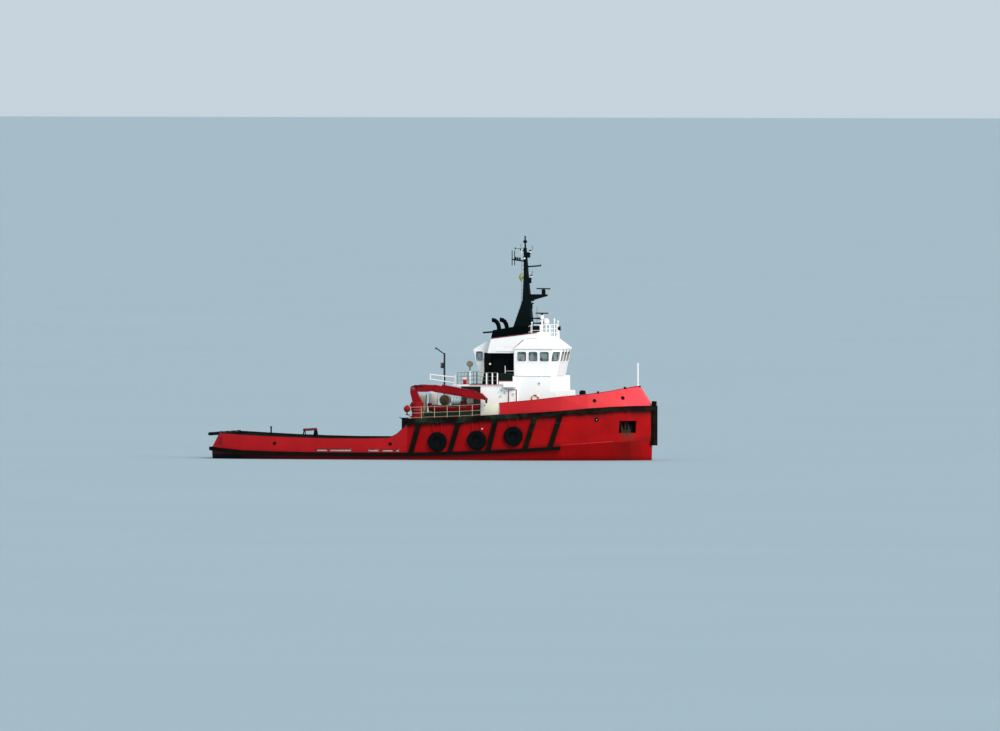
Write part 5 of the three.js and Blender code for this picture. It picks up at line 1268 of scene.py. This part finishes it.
def make_door_fittings():
    for side, name in SIDE_NAMES.items():
        kit = Kit()
        face = side * DOOR_FACE
        portlight(kit, (7.16, face, 5.4), (0, side, 0), 0.13, white_paint, pale_glass)
        for x0, x1 in ((6.78, 6.84), (7.43, 7.49)):
            kit.box((x0, face - side * 0.01, 4.1), (x1, face + side * 0.025, 5.8), crane_paint, 0.006)
        kit.box((6.78, face - side * 0.01, 5.75), (7.49, face + side * 0.025, 5.81), crane_paint, 0.006)
        for z in (4.35, 4.9, 5.55):
            kit.pipe([(7.44, face - side * 0.01, z), (7.44, face + side * 0.03, z),
                      (7.36, face + side * 0.03, z - 0.1)],
                     0.014, grey_paint, 6)
        kit.done(f"deckhouse_door_{name}_fittings", f"deckhouse_door_{name}")
        kit = Kit()
        pane = rounded_outline((7.07, side * 2.53, 8.2), (0, 1, 0), UP, 0.36, 0.5, 0.08)
        kit.slab([point + Vector((0.006, 0, 0)) for point in pane], (-0.012, 0, 0), dark_glass)
        kit.pipe(pane, 0.018, white_paint, 6, closed=True)
        for z in (7.4, 7.75, 8.5):
            kit.pipe([(7.075, side * 2.79, z), (7.04, side * 2.79, z), (7.04, side * 2.72, z - 0.07)],
                     0.012, grey_paint, 6)
        kit.done(f"wheelhouse_door_{name}_fittings", f"wheelhouse_door_{name}")


dark_glass = painted("dark glass", srgb(28, 36, 42), stains=0.0, depth=0.3, patch=0.4, roughness=0.12,
                     bump=0.0, gloss=0.5)
faded_glass = painted("faded glass", srgb(196, 170, 160), stains=0.0, depth=0.1, patch=0.3,
                      roughness=0.2, bump=0.0)
pale_glass = painted("pale glass", srgb(186, 194, 196), stains=0.0, depth=0.1, patch=0.3,
                     roughness=0.2, bump=0.0)
make_deckhouse_fittings()
make_door_fittings()

# %% [markdown]
# On the bridge deck thick white posts stand between the rail's thin ones, a red box holds the fire hose,
# and a white locker stands to port. A round lamp on its post gets a lens. Nothing is stretched over the
# rail, so it stays open.

# %% Bridge deck fittings
def make_bridge_fittings():
    kit = Kit()
    for side in SIDES:
        for x in (4.91, 5.40, 5.83):
            kit.turned((x, side * 3.43, 6.19), UP, [(0.055, 0.0), (0.055, 0.93), (0.03, 0.96)],
                       white_paint, 12)
        kit.box((3.46, side * 3.495, 6.13), (6.33, side * 3.512, 6.19), bow_rail_paint, 0.004)
        kit.box((5.96, side * 3.44, 7.1), (7.1, side * 3.47, 7.14), green_paint, 0.004)
        kit.pipe([(6.48, side * 3.42, 7.1), (6.48, side * 3.42, 7.74)], 0.024, white_paint, 6)
        kit.pipe([(6.48, side * 3.42, 7.32), (7.12, side * 3.0, 7.32)], 0.016, rail_white, 6)
        kit.turned((4.92, side * 2.2, 7.87), (0, side, 0), [(0.08, -0.02), (0.09, 0.03), (0.06, 0.06)],
                   screen_paint, 16)
    kit.box((2.9, -3.34, 6.2), (3.16, -3.12, 6.62), bright_red)
    kit.box((2.88, -3.36, 6.62), (3.18, -3.1, 6.76), white_paint)
    kit.box((3.2, 2.3, 6.2), (4.2, 3.1, 6.75), white_paint, 0.03)
    kit.hoop((3.41, -3.19, 7.88), (0, 1, 0), 0.22, 0.028, lamp_lens)
    kit.turned((3.41, -3.17, 7.88), (0, -1, 0), [(0.2, 0.0), (0.19, 0.02), (0.05, 0.03)], lamp_lens)
    return kit.done("bridge_deck_fittings")


lamp_lens = painted("lamp lens", srgb(126, 116, 96), stains=0.0, depth=0.2, patch=0.2,
                    roughness=0.2, gloss=0.5)
make_bridge_fittings()

# %% [markdown]
# Under the black cap of the funnels runs a thin dark red line, and each exhaust ends in a rim round a
# near-black
# mouth: soot, and painted shade for the pipe's inside. The line is a strip of plate, because it stands a
# finger's width proud and throws a small shadow. A dark rod where the wheelhouse roof meets the casing is a
# painted shadow line.

# %% Funnel trim
def make_funnel_trim():
    kit = Kit()
    for side in SIDES:
        strip = [(5.02, 9.94), (8.88, 10.43), (8.88, 10.485), (5.02, 9.995)]
        kit.slab([(x, side * 2.195, z) for x, z in strip], (0, side * 0.03, 0), crane_paint, 0.003)
        mouth = Vector((4.92, side * 1.41, 11.48))
        kit.hoop(mouth, (1, 0, 0), 0.17, 0.02, black_paint)
        # The mouth is a near-black disc: soot and painted shade of the pipe's inside.
        kit.turned(mouth, (-1, 0, 0), [(0.16, -0.02), (0.16, 0.006), (0.05, 0.003)], hole_paint)
        for x in (5.9, 7.0):
            kit.box((x, side * 2.2, 9.3), (x + 0.5, side * 2.215, 9.34), white_paint, 0.003)
        storm_rail(kit, (5.4, side * 2.2, 8.95), (6.8, side * 2.2, 8.95), (0, side * 0.06, 0), white_paint)
        # A dark rod standing for the shaded crease where the wheelhouse roof meets the casing: painted
        # shade.
        kit.pipe([(7.11, side * 3.05, 9.17), (7.78, side * 2.33, 9.88)], 0.025, anchor_iron, 6)
    return kit.done("funnel_trim")


make_funnel_trim()

# %% [markdown]
# A mast is a ladder for lamps. Its aft face has steps, its brackets carry the navigation lights, and thin
# whip aerials stand on the spars. Halyards run down from a spar to two short bars on the mast and are
# always taut, so they are straight rods here, and a signal shape hangs on one. Two horns point forward.

# %% Mast fittings
LAMP = [(0.1, 0.0), (0.1, 0.04), (0.07, 0.06), (0.07, 0.2), (0.1, 0.22), (0.1, 0.26), (0.03, 0.3)]
# z, x and half-breadth of the mast's aft face.
MAST_AFT = [(10.6, 6.35, 0.5), (13.1, 7.19, 0.3), (15.2, 7.26, 0.2), (17.4, 7.24, 0.12)]


def lamp_on(kit, x, y, z, glow):
    kit.turned((x, y, z), UP, LAMP, black_paint, 16)
    kit.turned((x, y, z + 0.08), UP, [(0.078, 0.0), (0.078, 0.1)], glow, 16)


def make_mast_fittings():
    kit = Kit()
    for step in range(20):
        z = 11.0 + step * 0.33
        x, half = along(MAST_AFT, z, 1) + 0.02, min(0.17, along(MAST_AFT, z, 2))
        kit.pipe([(x, -half, z), (x - 0.13, -half, z), (x - 0.13, half, z), (x, half, z)], 0.014,
                 black_paint, 6)
    for x, foot in ((8.04, 12.84), (7.87, 14.9), (7.78, 16.93)):
        lamp_on(kit, x, 0.0, foot, white_paint)
        kit.pipe([(7.45, 0.0, foot - 0.01), (x, 0.0, foot - 0.01)], 0.035, black_paint, 8)
    for z in (13.05, 15.15, 17.23):
        kit.pipe([(7.62, 0.12, z), (7.95, 0.12, z), (7.95, 0.12, z + 0.34), (7.95, -0.12, z + 0.34),
                  (7.95, -0.12, z), (7.62, -0.12, z)], 0.012, black_paint, 6)
    for side in SIDES:
        lamp_on(kit, 7.35, side * 0.3, 16.42, white_paint)
        kit.pipe([(7.35, 0, 16.38), (7.35, side * 0.34, 16.38)], 0.03, black_paint, 6)
    for x, low in ((6.24, 15.96), (6.45, 15.98)):
        kit.pipe([(x, 0, low), (x, 0, 17.19)], 0.035, black_paint, 6)
    kit.pipe([(6.4, 0, 16.44), (6.2, 0, 16.465)], 0.045, black_paint, 8)
    for x in (6.55, 6.72, 6.9):
        foot, _ = landing("mast", (x, 0.0, 16.8), DOWN)
        kit.turned(foot, UP, [(0.05, -0.04), (0.07, 0.05), (0.07, 0.16), (0.02, 0.2)], black_paint, 10)
    kit.box((7.06, -0.2, 16.9), (7.14, -0.12, 17.32), white_paint)
    kit.box((7.06, -0.2, 17.08), (7.3, -0.1, 17.12), black_paint)
    kit.pipe([(6.51, 0, 17.32), (7.34, 0, 17.4)], 0.02, black_paint, 6)
    kit.turned((6.51, 0, 17.3), UP, [(0.05, 0.0), (0.05, 0.12), (0.01, 0.16)], black_paint, 10)
    kit.pipe([(7.34, -0.42, 17.9), (7.34, 0.42, 17.9)], 0.02, black_paint, 6)
    for side in SIDES:
        kit.turned((7.34, side * 0.42, 17.8), UP, [(0.02, 0.0), (0.06, 0.05), (0.06, 0.2), (0.02, 0.24)],
                   black_paint, 12)
        kit.pipe([(7.3, side * 0.3, 17.2), (7.2, side * 0.9, 17.24)], 0.02, black_paint, 6)
        kit.pipe([(7.2, side * 0.9, 17.2), (7.2, side * 0.9, 17.75)], 0.012, black_paint, 6)
        kit.pipe([(7.03, side * 0.1, 16.36), (7.04, side * 0.1, 12.65)], 0.012, cream_paint, 5)
        kit.pipe([(6.95, side * 0.1, 12.65), (7.3, side * 0.1, 12.65)], 0.015, black_paint, 6)
    kit.turned((7.34, 0, 18.28), UP, [(0.05, 0.0), (0.05, 0.08), (0.02, 0.11)], white_paint, 12)
    shape = [(0.01, -0.38), (0.2, 0.0), (0.01, 0.38)]
    kit.turned((7.03, -0.1, 15.0), UP, shape, signal_yellow, 4)
    kit.pipe([(8.67, 0, 15.95), (8.67, 0, 16.1)], 0.03, black_paint, 6)
    for z, y in ((11.62, -0.25), (11.21, 0.2)):
        kit.turned((7.6, y, z), (1, 0, 0),
                   [(0.07, 0.0), (0.05, 0.5), (0.06, 0.8), (0.09, 1.08), (0.13, 1.2)], black_paint, 16)
        kit.turned((8.78, y, z), (1, 0, 0), [(0.125, 0.0), (0.14, 0.05), (0.1, 0.052), (0.03, 0.02)],
                   black_paint if y < 0 else crane_paint, 16)
    kit.pipe([(8.45, -0.4, 10.0), (8.45, -0.4, 12.55)], 0.015, black_paint, 6)
    kit.pipe([(8.9, -0.05, 13.6), (8.9, -0.05, 13.94)], 0.05, black_paint, 8)
    return kit.done("mast_fittings")


make_mast_fittings()

# %% [markdown]
# A radar scanner is a thin bar that turns on a gearbox. The CAD bars are plain blocks, so these stand for
# them and ride on the same turning bodies. Each takes its direction from the farthest corner of the bar it
# replaces.

# %% Radar scanners
def make_scanner(node, bar_height, gear_radius):
    low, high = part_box(node)
    middle = (low + high) / 2
    flat = [Vector((v.co.x - middle.x, v.co.y - middle.y, 0.0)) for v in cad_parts[node].data.vertices]
    reach = max(flat, key=lambda out: out.length)
    along_bar = reach.normalized()
    across = Vector((-along_bar.y, along_bar.x, 0.0))
    half = reach.length - 0.06
    foot = Vector((middle.x, middle.y, low.z))
    kit = Kit()
    kit.turned(foot, UP, [(gear_radius, 0.0), (gear_radius, 0.05), (gear_radius * 0.5, bar_height)],
               black_paint)
    bar = foot + Vector((0, 0, bar_height))
    section = [(-0.05, 0.0), (0.05, 0.0), (0.06, 0.04), (0.03, 0.11), (-0.03, 0.11), (-0.06, 0.04)]
    ends = [[bar + along_bar * far + across * y + Vector((0, 0, z)) for y, z in section]
            for far in (-half, half)]
    kit.skin(ends, scanner_brown)
    return kit.done(f"{node}_detailed", node, stands_for=(node,))


make_scanner("radar_main", 0.05, 0.12)
make_scanner("radar_upper", 0.1, 0.11)

# %% [markdown]
# The wheelhouse roof is crowded with pale posts, aerials and a small searchlight. Each post starts where a
# ray dropped from above meets the sloping roof, so nothing floats above it or hangs through it.

# %% Roof fittings
def make_roof_fittings():
    kit = Kit()
    for x, y, top in ((9.98, -0.7, 11.47), (9.6, 0.9, 11.4), (8.3, 1.6, 11.3), (8.3, -1.6, 11.2),
                      (9.98, 0.6, 11.3)):
        foot, _ = landing("wheelhouse_roof", (x, y, 14.0), DOWN)
        kit.turned(foot, UP, [(0.07, -0.03), (0.05, 0.05), (0.035, 0.07), (0.035, top - foot.z)],
                   white_paint, 10)
        kit.turned((x, y, top - 0.02), UP, [(0.05, 0.0), (0.07, 0.04), (0.07, 0.14), (0.02, 0.17)],
                   white_paint, 12)
    for side in SIDES:
        points = [landing("wheelhouse_roof", (x, side * y, 14.0), DOWN)[0]
                  for x, y in ((7.35, 1.95), (8.3, 1.95))]
        points.append(Vector((9.03, side * 1.87, 11.1)))
        for low in points[:2]:
            kit.pipe([low - Vector((0, 0, 0.03)), low + Vector((0, 0, 0.95))], 0.022, white_paint, 6)
        for lift in (0.5, 0.95):
            rail = [points[0] + Vector((0, 0, lift)), points[1] + Vector((0, 0, lift)),
                    Vector((9.03, side * 1.87, 10.15 + lift))]
            kit.pipe(rail, 0.018, white_paint, 6)
    foot, _ = landing("wheelhouse_roof", (10.2, 0.0, 14.0), DOWN)
    kit.turned(foot, UP, [(0.08, -0.03), (0.05, 0.04), (0.05, 10.66 - foot.z)], white_paint, 12)
    kit.turned((10.1, 0.0, 10.8), (1, 0, 0),
               [(0.06, 0.0), (0.15, 0.06), (0.17, 0.22), (0.19, 0.25), (0.17, 0.26)], black_paint, 20)
    kit.turned((10.35, 0.0, 10.8), (1, 0, 0), [(0.165, 0.0), (0.1, 0.018)], lamp_lens, 20)
    return kit.done("roof_fittings")


make_roof_fittings()

# %% [markdown]
# The towing winch needs its wire. One long helix lies round the drum in close turns from flange to flange,
# and rides on the drum, so that it turns with it. The windlass drum carries a few turns of mooring rope in
# the same way.

# %% Winch wire
POINTS_PER_TURN = 20
WINCH_AXLE = (1.2, 0, 1.85)


def helix(centre, radius, low, high, turns):
    """Points of a rope wound once along Y, from low to high."""
    points = []
    for k in range(turns * POINTS_PER_TURN):
        share = k / (turns * POINTS_PER_TURN)
        angle = 2 * math.pi * k / POINTS_PER_TURN
        turned = Vector((radius * math.cos(angle), low + (high - low) * share, radius * math.sin(angle)))
        points.append(Vector(centre) + turned)
    return points


def make_windings():
    kit = Kit()
    kit.pipe(helix(WINCH_AXLE, 0.6, -0.78, 0.78, 20), 0.04, wire_rope, 6)
    kit.done("winch_wire", "winch_drum")
    kit = Kit()
    low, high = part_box("windlass_drum")
    kit.pipe(helix((low + high) / 2, 0.2, -0.3, 0.3, 9), 0.03, rope_fibre, 6)
    kit.done("windlass_rope", "windlass_drum")


make_windings()

# %% [markdown]
# The crane is a folding one: its column turns on a ring, and the boom and the jib turn on pins. The boom
# and the jib carry their own cylinders, hoses and pin heads, and the column a ring of bolts. Hoses are
# bent pipes with both ends in the same body, so no hose has to stretch when the crane moves.

# %% Crane fittings
CRANE_Y = -4.0
COLUMN_X = -0.8
COLUMN_BOLTS = 12


def pin_heads(kit, x, z, radius, reach):
    for side in SIDES:
        kit.turned((x, CRANE_Y + side * reach, z), (0, side, 0),
                   [(radius, -0.02), (radius, 0.015), (radius * 0.6, 0.03), (radius * 0.2, 0.03)],
                   grey_paint, 12)


def make_crane_fittings():
    kit = Kit()
    kit.turned((COLUMN_X, CRANE_Y, 4.0), UP, [(0.535, 0.06), (0.535, 0.12)], grey_paint, 32)
    for k in range(COLUMN_BOLTS):
        angle = 2 * math.pi * k / COLUMN_BOLTS
        kit.turned((COLUMN_X + 0.47 * math.cos(angle), CRANE_Y + 0.47 * math.sin(angle), 4.7), UP,
                   [(0.03, 0.0), (0.03, 0.045), (0.02, 0.05)], grey_paint, 6)
    kit.box((-1.3, CRANE_Y - 0.5, 4.35), (-1.12, CRANE_Y - 0.32, 4.6), crane_paint)
    kit.done("crane_column_fittings", "crane_column")
    kit = Kit()
    pin_heads(kit, -1.1, 5.85, 0.12, 0.2)
    for y in (-0.07, 0.07):
        kit.pipe([(-0.6, CRANE_Y + y, 6.15), (-0.5, CRANE_Y + y, 6.17), (-0.1, CRANE_Y + y, 6.17),
                  (0.02, CRANE_Y + y, 6.14)], 0.018, hose_black, 6)
    kit.box((-0.6, CRANE_Y - 0.215, 5.7), (-0.1, CRANE_Y + 0.215, 5.74), crane_paint, 0.004)
    for side in SIDES:
        kit.box((-1.05, CRANE_Y + side * 0.19, 5.98), (-0.2, CRANE_Y + side * 0.212, 6.14),
                maroon_paint, 0.004)
    kit.pipe([(-0.6, CRANE_Y - 0.1, 5.71), (-0.1, CRANE_Y - 0.1, 5.69)], 0.035, bright_steel, 10)
    kit.done("crane_boom_fittings", "crane_boom")
    kit = Kit()
    for side in SIDES:
        kit.slab([(1.2, CRANE_Y + side * 0.178, 5.62), (4.3, CRANE_Y + side * 0.178, 5.1),
                  (4.3, CRANE_Y + side * 0.178, 5.16), (1.2, CRANE_Y + side * 0.178, 5.68)],
                 (0, side * 0.02, 0), crane_paint, 0.003)
    for y in (-0.09, 0.09):
        kit.pipe([(0.9, CRANE_Y + y, 6.1), (1.3, CRANE_Y + y, 6.05), (3.0, CRANE_Y + y, 5.77),
                  (4.3, CRANE_Y + y, 5.54), (4.4, CRANE_Y + y, 5.45)], 0.016, hose_black, 6)
    kit.pipe([(1.3, CRANE_Y, 6.115), (2.7, CRANE_Y, 5.865)], 0.085, crane_paint, 16)
    kit.pipe([(2.6, CRANE_Y, 5.86), (4.2, CRANE_Y, 5.58)], 0.05, bright_steel, 12)
    pin_heads(kit, 5.03, 5.0, 0.05, 0.17)
    kit.done("crane_jib_fittings", "crane_jib")


hose_black = painted("hose black", srgb(24, 22, 24), stains=0.0, depth=0.3, patch=0.1, roughness=0.6)
bright_steel = painted("bright steel", srgb(180, 178, 172), stains=0.1, depth=0.15, patch=0.3,
                       roughness=0.3, metallic=0.8)
make_crane_fittings()

# %% [markdown]
# The rescue boat is a small hull of its own. It is lofted like a ship: at each of a few stations a closed
# section runs round the keel, chine and gunwale, down the inside to the floor, and up again, so that one
# skin makes both the outside and the cockpit. A fat collar, a console, a seat and an outboard engine finish
# it.

# %% Rescue boat
# x, half-breadth, keel z, gunwale z, and how deep the floor lies below the gunwale.
BOAT_STATIONS = [
    (0.2, 0.55, 4.02, 4.44, 0.0), (0.45, 0.64, 3.96, 4.44, 0.0), (0.6, 0.70, 3.93, 4.44, 0.0),
    (0.72, 0.71, 3.925, 4.44, 0.26), (1.8, 0.73, 3.91, 4.45, 0.26), (2.8, 0.72, 3.905, 4.455, 0.26),
    (3.3, 0.62, 3.95, 4.47, 0.24), (3.42, 0.59, 3.96, 4.475, 0.0), (3.8, 0.46, 4.01, 4.495, 0.0),
    (4.1, 0.27, 4.1, 4.53, 0.0), (4.28, 0.08, 4.22, 4.56, 0.0),
]
BOAT_Y = -3.7


def boat_section(x, half, keel, gunwale, depth):
    inner = half * 0.72
    floor = gunwale - max(depth, 0.004)
    port = [(0.0, keel), (half * 0.8, keel + 0.1), (half, gunwale - 0.16), (half, gunwale),
            (inner, gunwale + 0.01), (inner - 0.02, floor), (0.001, floor)]
    around = port + [(-y, z) for y, z in reversed(port[1:])]
    return [Vector((x, BOAT_Y + y, z)) for y, z in around]


def make_rescue_boat():
    kit = Kit()
    kit.skin([boat_section(*row) for row in BOAT_STATIONS], boat_paint)
    for side in SIDES:
        collar = [(x, BOAT_Y + side * (half - 0.04), z - 0.02) for x, half, _, z, _ in BOAT_STATIONS[:-1]]
        kit.pipe(collar + [(4.24, BOAT_Y, 4.53)], 0.075, collar_paint, 12)
        lines = [(x, BOAT_Y + side * (half + 0.03), z - 0.05) for x, half, _, z, _ in BOAT_STATIONS[3:8]]
        for low, high in zip(lines, lines[1:]):
            low, high = Vector(low), Vector(high)
            kit.pipe([low, (low + high) / 2 - Vector((0, 0, 0.1)), high], 0.012, rope_fibre, 5)
    kit.box((0.02, BOAT_Y - 0.16, 4.32), (0.36, BOAT_Y + 0.16, 4.66), maroon_paint, 0.06)
    kit.box((0.1, BOAT_Y - 0.09, 4.1), (0.28, BOAT_Y + 0.09, 4.36), black_paint, 0.04)
    kit.slab([(2.85, BOAT_Y - 0.28, 4.2), (3.2, BOAT_Y - 0.28, 4.2), (3.2, BOAT_Y - 0.28, 4.7),
              (3.08, BOAT_Y - 0.28, 4.9), (2.85, BOAT_Y - 0.28, 4.78)], (0, 0.56, 0), maroon_paint, 0.03)
    kit.hoop((2.8, BOAT_Y, 4.72), (1, 0, -0.3), 0.13, 0.015, black_paint, 16, 6)
    kit.box((1.9, BOAT_Y - 0.22, 4.19), (2.35, BOAT_Y + 0.22, 4.42), black_paint, 0.04)
    kit.box((1.05, BOAT_Y - 0.45, 4.34), (1.25, BOAT_Y + 0.45, 4.39), collar_paint)
    return kit.done("rescue_boat_detailed", stands_for=("rescue_boat",))


boat_paint = painted("boat red", srgb(118, 6, 16), stains=0.15, depth=0.2, patch=1.0, roughness=0.4)
collar_paint = painted("boat collar", srgb(88, 6, 16), stains=0.2, depth=0.25, patch=0.5, roughness=0.7)
make_rescue_boat()

# %% [markdown]
# Beside the boat stand a reel of rope, a raft in its canister and a round ventilator. The reel's winding is
# two helices, one inside the other, between two rims, and it stands for the plain CAD reel. The canister
# gets its seam and straps, and the ventilator its louvres. A wash board, lockers and two small ventilators
# stand near them.

# %% Reel, raft and ventilator
RAFT_Y, RAFT_Z = -2.4, 4.78
TRUNK_X, TRUNK_Y = 0.18, -2.4


def make_reel():
    low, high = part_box("rope_reel")
    middle = (low + high) / 2
    kit = Kit()
    kit.pipe([middle - Vector((0, 0.255, 0)), middle + Vector((0, 0.255, 0))], 0.12, grey_paint, 20)
    for radius in (0.16, 0.385):
        kit.pipe(helix(middle, radius, -0.19, 0.19, 7), 0.032, rope_fibre, 6)
    kit.turned(middle - Vector((0, 0.2, 0)), (0, 1, 0), [(0.37, 0.0), (0.37, 0.4)], rope_fibre, 32)
    for side in SIDES:
        centre = middle + Vector((0, side * 0.225, 0))
        kit.hoop(centre, (0, 1, 0), 0.445, 0.02, rail_white, 32)
        kit.turned(centre, (0, side, 0), [(0.44, -0.012), (0.44, 0.006), (0.14, 0.012), (0.12, 0.03)],
                   reel_olive, 32)
    return kit.done("rope_reel_detailed", "rope_reel", stands_for=("rope_reel",))


def make_deck_gear_details():
    kit = Kit()
    for x in (1.95, 2.42):
        kit.hoop((x, RAFT_Y, RAFT_Z), (1, 0, 0), 0.343, 0.014, grey_paint, 32, 6)
    kit.hoop((2.185, RAFT_Y, RAFT_Z), (1, 0, 0), 0.345, 0.02, teal_paint, 32, 6)
    for z in (4.55, 4.68, 4.81, 4.94, 5.07, 5.2):
        kit.hoop((TRUNK_X, TRUNK_Y, z), UP, 0.38, 0.012, gear_paint, 32, 6)
    kit.turned((TRUNK_X, TRUNK_Y, 5.42), UP, [(0.4, 0.0), (0.36, 0.06), (0.2, 0.11), (0.02, 0.12)],
               gear_paint)
    for side in SIDES:
        kit.turned((0.5, side * 1.1, 3.47), UP, MUSHROOM, white_paint)
    kit.box((-0.1, -4.42, 3.38), (4.4, -4.38, 3.94), wash_green, 0.01)
    kit.box((-0.85, -2.8, 3.38), (-0.45, -2.2, 5.3), cream_paint, 0.02)
    kit.pipe([(-0.36, -2.6, 3.38), (-0.36, -2.6, 5.35)], 0.035, black_paint, 8)
    kit.box((2.93, -2.08, 4.6), (3.5, -1.89, 5.05), rail_white, 0.02)
    kit.box((-0.6, 1.6, 3.42), (0.8, 2.7, 4.1), white_paint, 0.04)
    kit.box((-0.64, 1.56, 4.1), (0.84, 2.74, 4.16), green_paint)
    kit.pipe([(0.2, -1.55, 9.18), (0.17, -1.6, 9.05)], 0.05, black_paint, 8)
    return kit.done("boat_deck_gear")


teal_paint = painted("raft teal", srgb(96, 156, 152), stains=0.1, depth=0.15, patch=0.5)
reel_olive = painted("reel olive", srgb(86, 76, 52), stains=0.4, stain_width=0.05, depth=0.3, patch=0.3)
make_reel()
make_deck_gear_details()

# %% [markdown]
# Below the waterline the plating carries small zinc blocks that waste away in place of the steel, and grids
# over the cooling inlets. They are placed by rays from the side.

# %% Underwater fittings
def make_underwater_fittings():
    kit = Kit()
    for side in SIDES:
        for x in (-10.5, -6.0, -1.5, 3.0, 7.5, 11.5):
            point, normal = landing("hull", (x, side * SHOT, -1.6), (0, -side, 0))
            level = Vector(UP).cross(normal).normalized()
            rise = normal.cross(level)
            base = point - normal * 0.02 - level * 0.22 - rise * 0.07
            outline = [base, base + level * 0.44, base + level * 0.44 + rise * 0.14, base + rise * 0.14]
            kit.slab(outline, normal * 0.08, zinc, 0.02)
        for x in (0.5, 2.0):
            point, normal = landing("hull", (x, side * SHOT, -2.3), (0, -side, 0))
            level = Vector(UP).cross(normal).normalized()
            rise = normal.cross(level)
            for k in range(6):
                start = point + rise * (k * 0.1 - 0.25) - level * 0.3
                kit.pipe([start, start + level * 0.6], 0.025, hull_paint, 6)
    return kit.done("underwater_fittings")


zinc = painted("zinc", srgb(150, 152, 150), stains=0.2, depth=0.3, patch=0.3, roughness=0.7)
make_underwater_fittings()

# %% [markdown]
# The stage is a plain pale floor at the waterline, which hides the hull's bottom, under soft studio light.
# One broad key lamp shines from the bow quarter, because the forward bulwark is the brightest red. A weak
# second one from ahead keeps the front of the house white, and the pale world fills the shadows.

# %% Stage and light
FLOOR_HALF = 120000.0
KEY_TURN = math.radians(45)
KEY_HEIGHT = math.radians(36)
FILL_TURN = math.radians(80)
FILL_HEIGHT = math.radians(15)
LAMP_SPREAD = math.radians(25)
WARM_WHITE = (1.0, 0.96, 0.92)


def make_floor():
    shape = bmesh.new()
    bmesh.ops.create_grid(shape, x_segments=1, y_segments=1, size=FLOOR_HALF)
    data = bpy.data.meshes.new("floor")
    shape.to_mesh(data)
    shape.free()
    floor = bpy.data.objects.new("floor", data)
    bpy.context.scene.collection.objects.link(floor)
    data.materials.append(painted("pale floor", srgb(156, 175, 183), stains=0.0, depth=0.02, patch=40.0,
                                  roughness=0.8, bump=0.0))


def make_lights():
    world = bpy.data.worlds.new("pale studio")
    bpy.context.scene.world = world
    world.use_nodes = True
    sky = world.node_tree.nodes["Background"]
    sky.inputs["Color"].default_value = srgb(226, 240, 250)
    sky.inputs["Strength"].default_value = 0.75
    for name, energy, height, turn in (("key", 2.4, KEY_HEIGHT, KEY_TURN),
                                       ("fill", 0.9, FILL_HEIGHT, FILL_TURN)):
        data = bpy.data.lights.new(name, "SUN")
        data.energy = energy
        data.angle = LAMP_SPREAD
        data.color = WARM_WHITE
        lamp = bpy.data.objects.new(name, data)
        lamp.rotation_euler = (math.pi / 2 - height, 0.0, turn)
        bpy.context.scene.collection.objects.link(lamp)


make_floor()
make_lights()
print("lamps", [lamp.name for lamp in bpy.data.lights])
bpy.context.scene.view_settings.view_transform = "Standard"
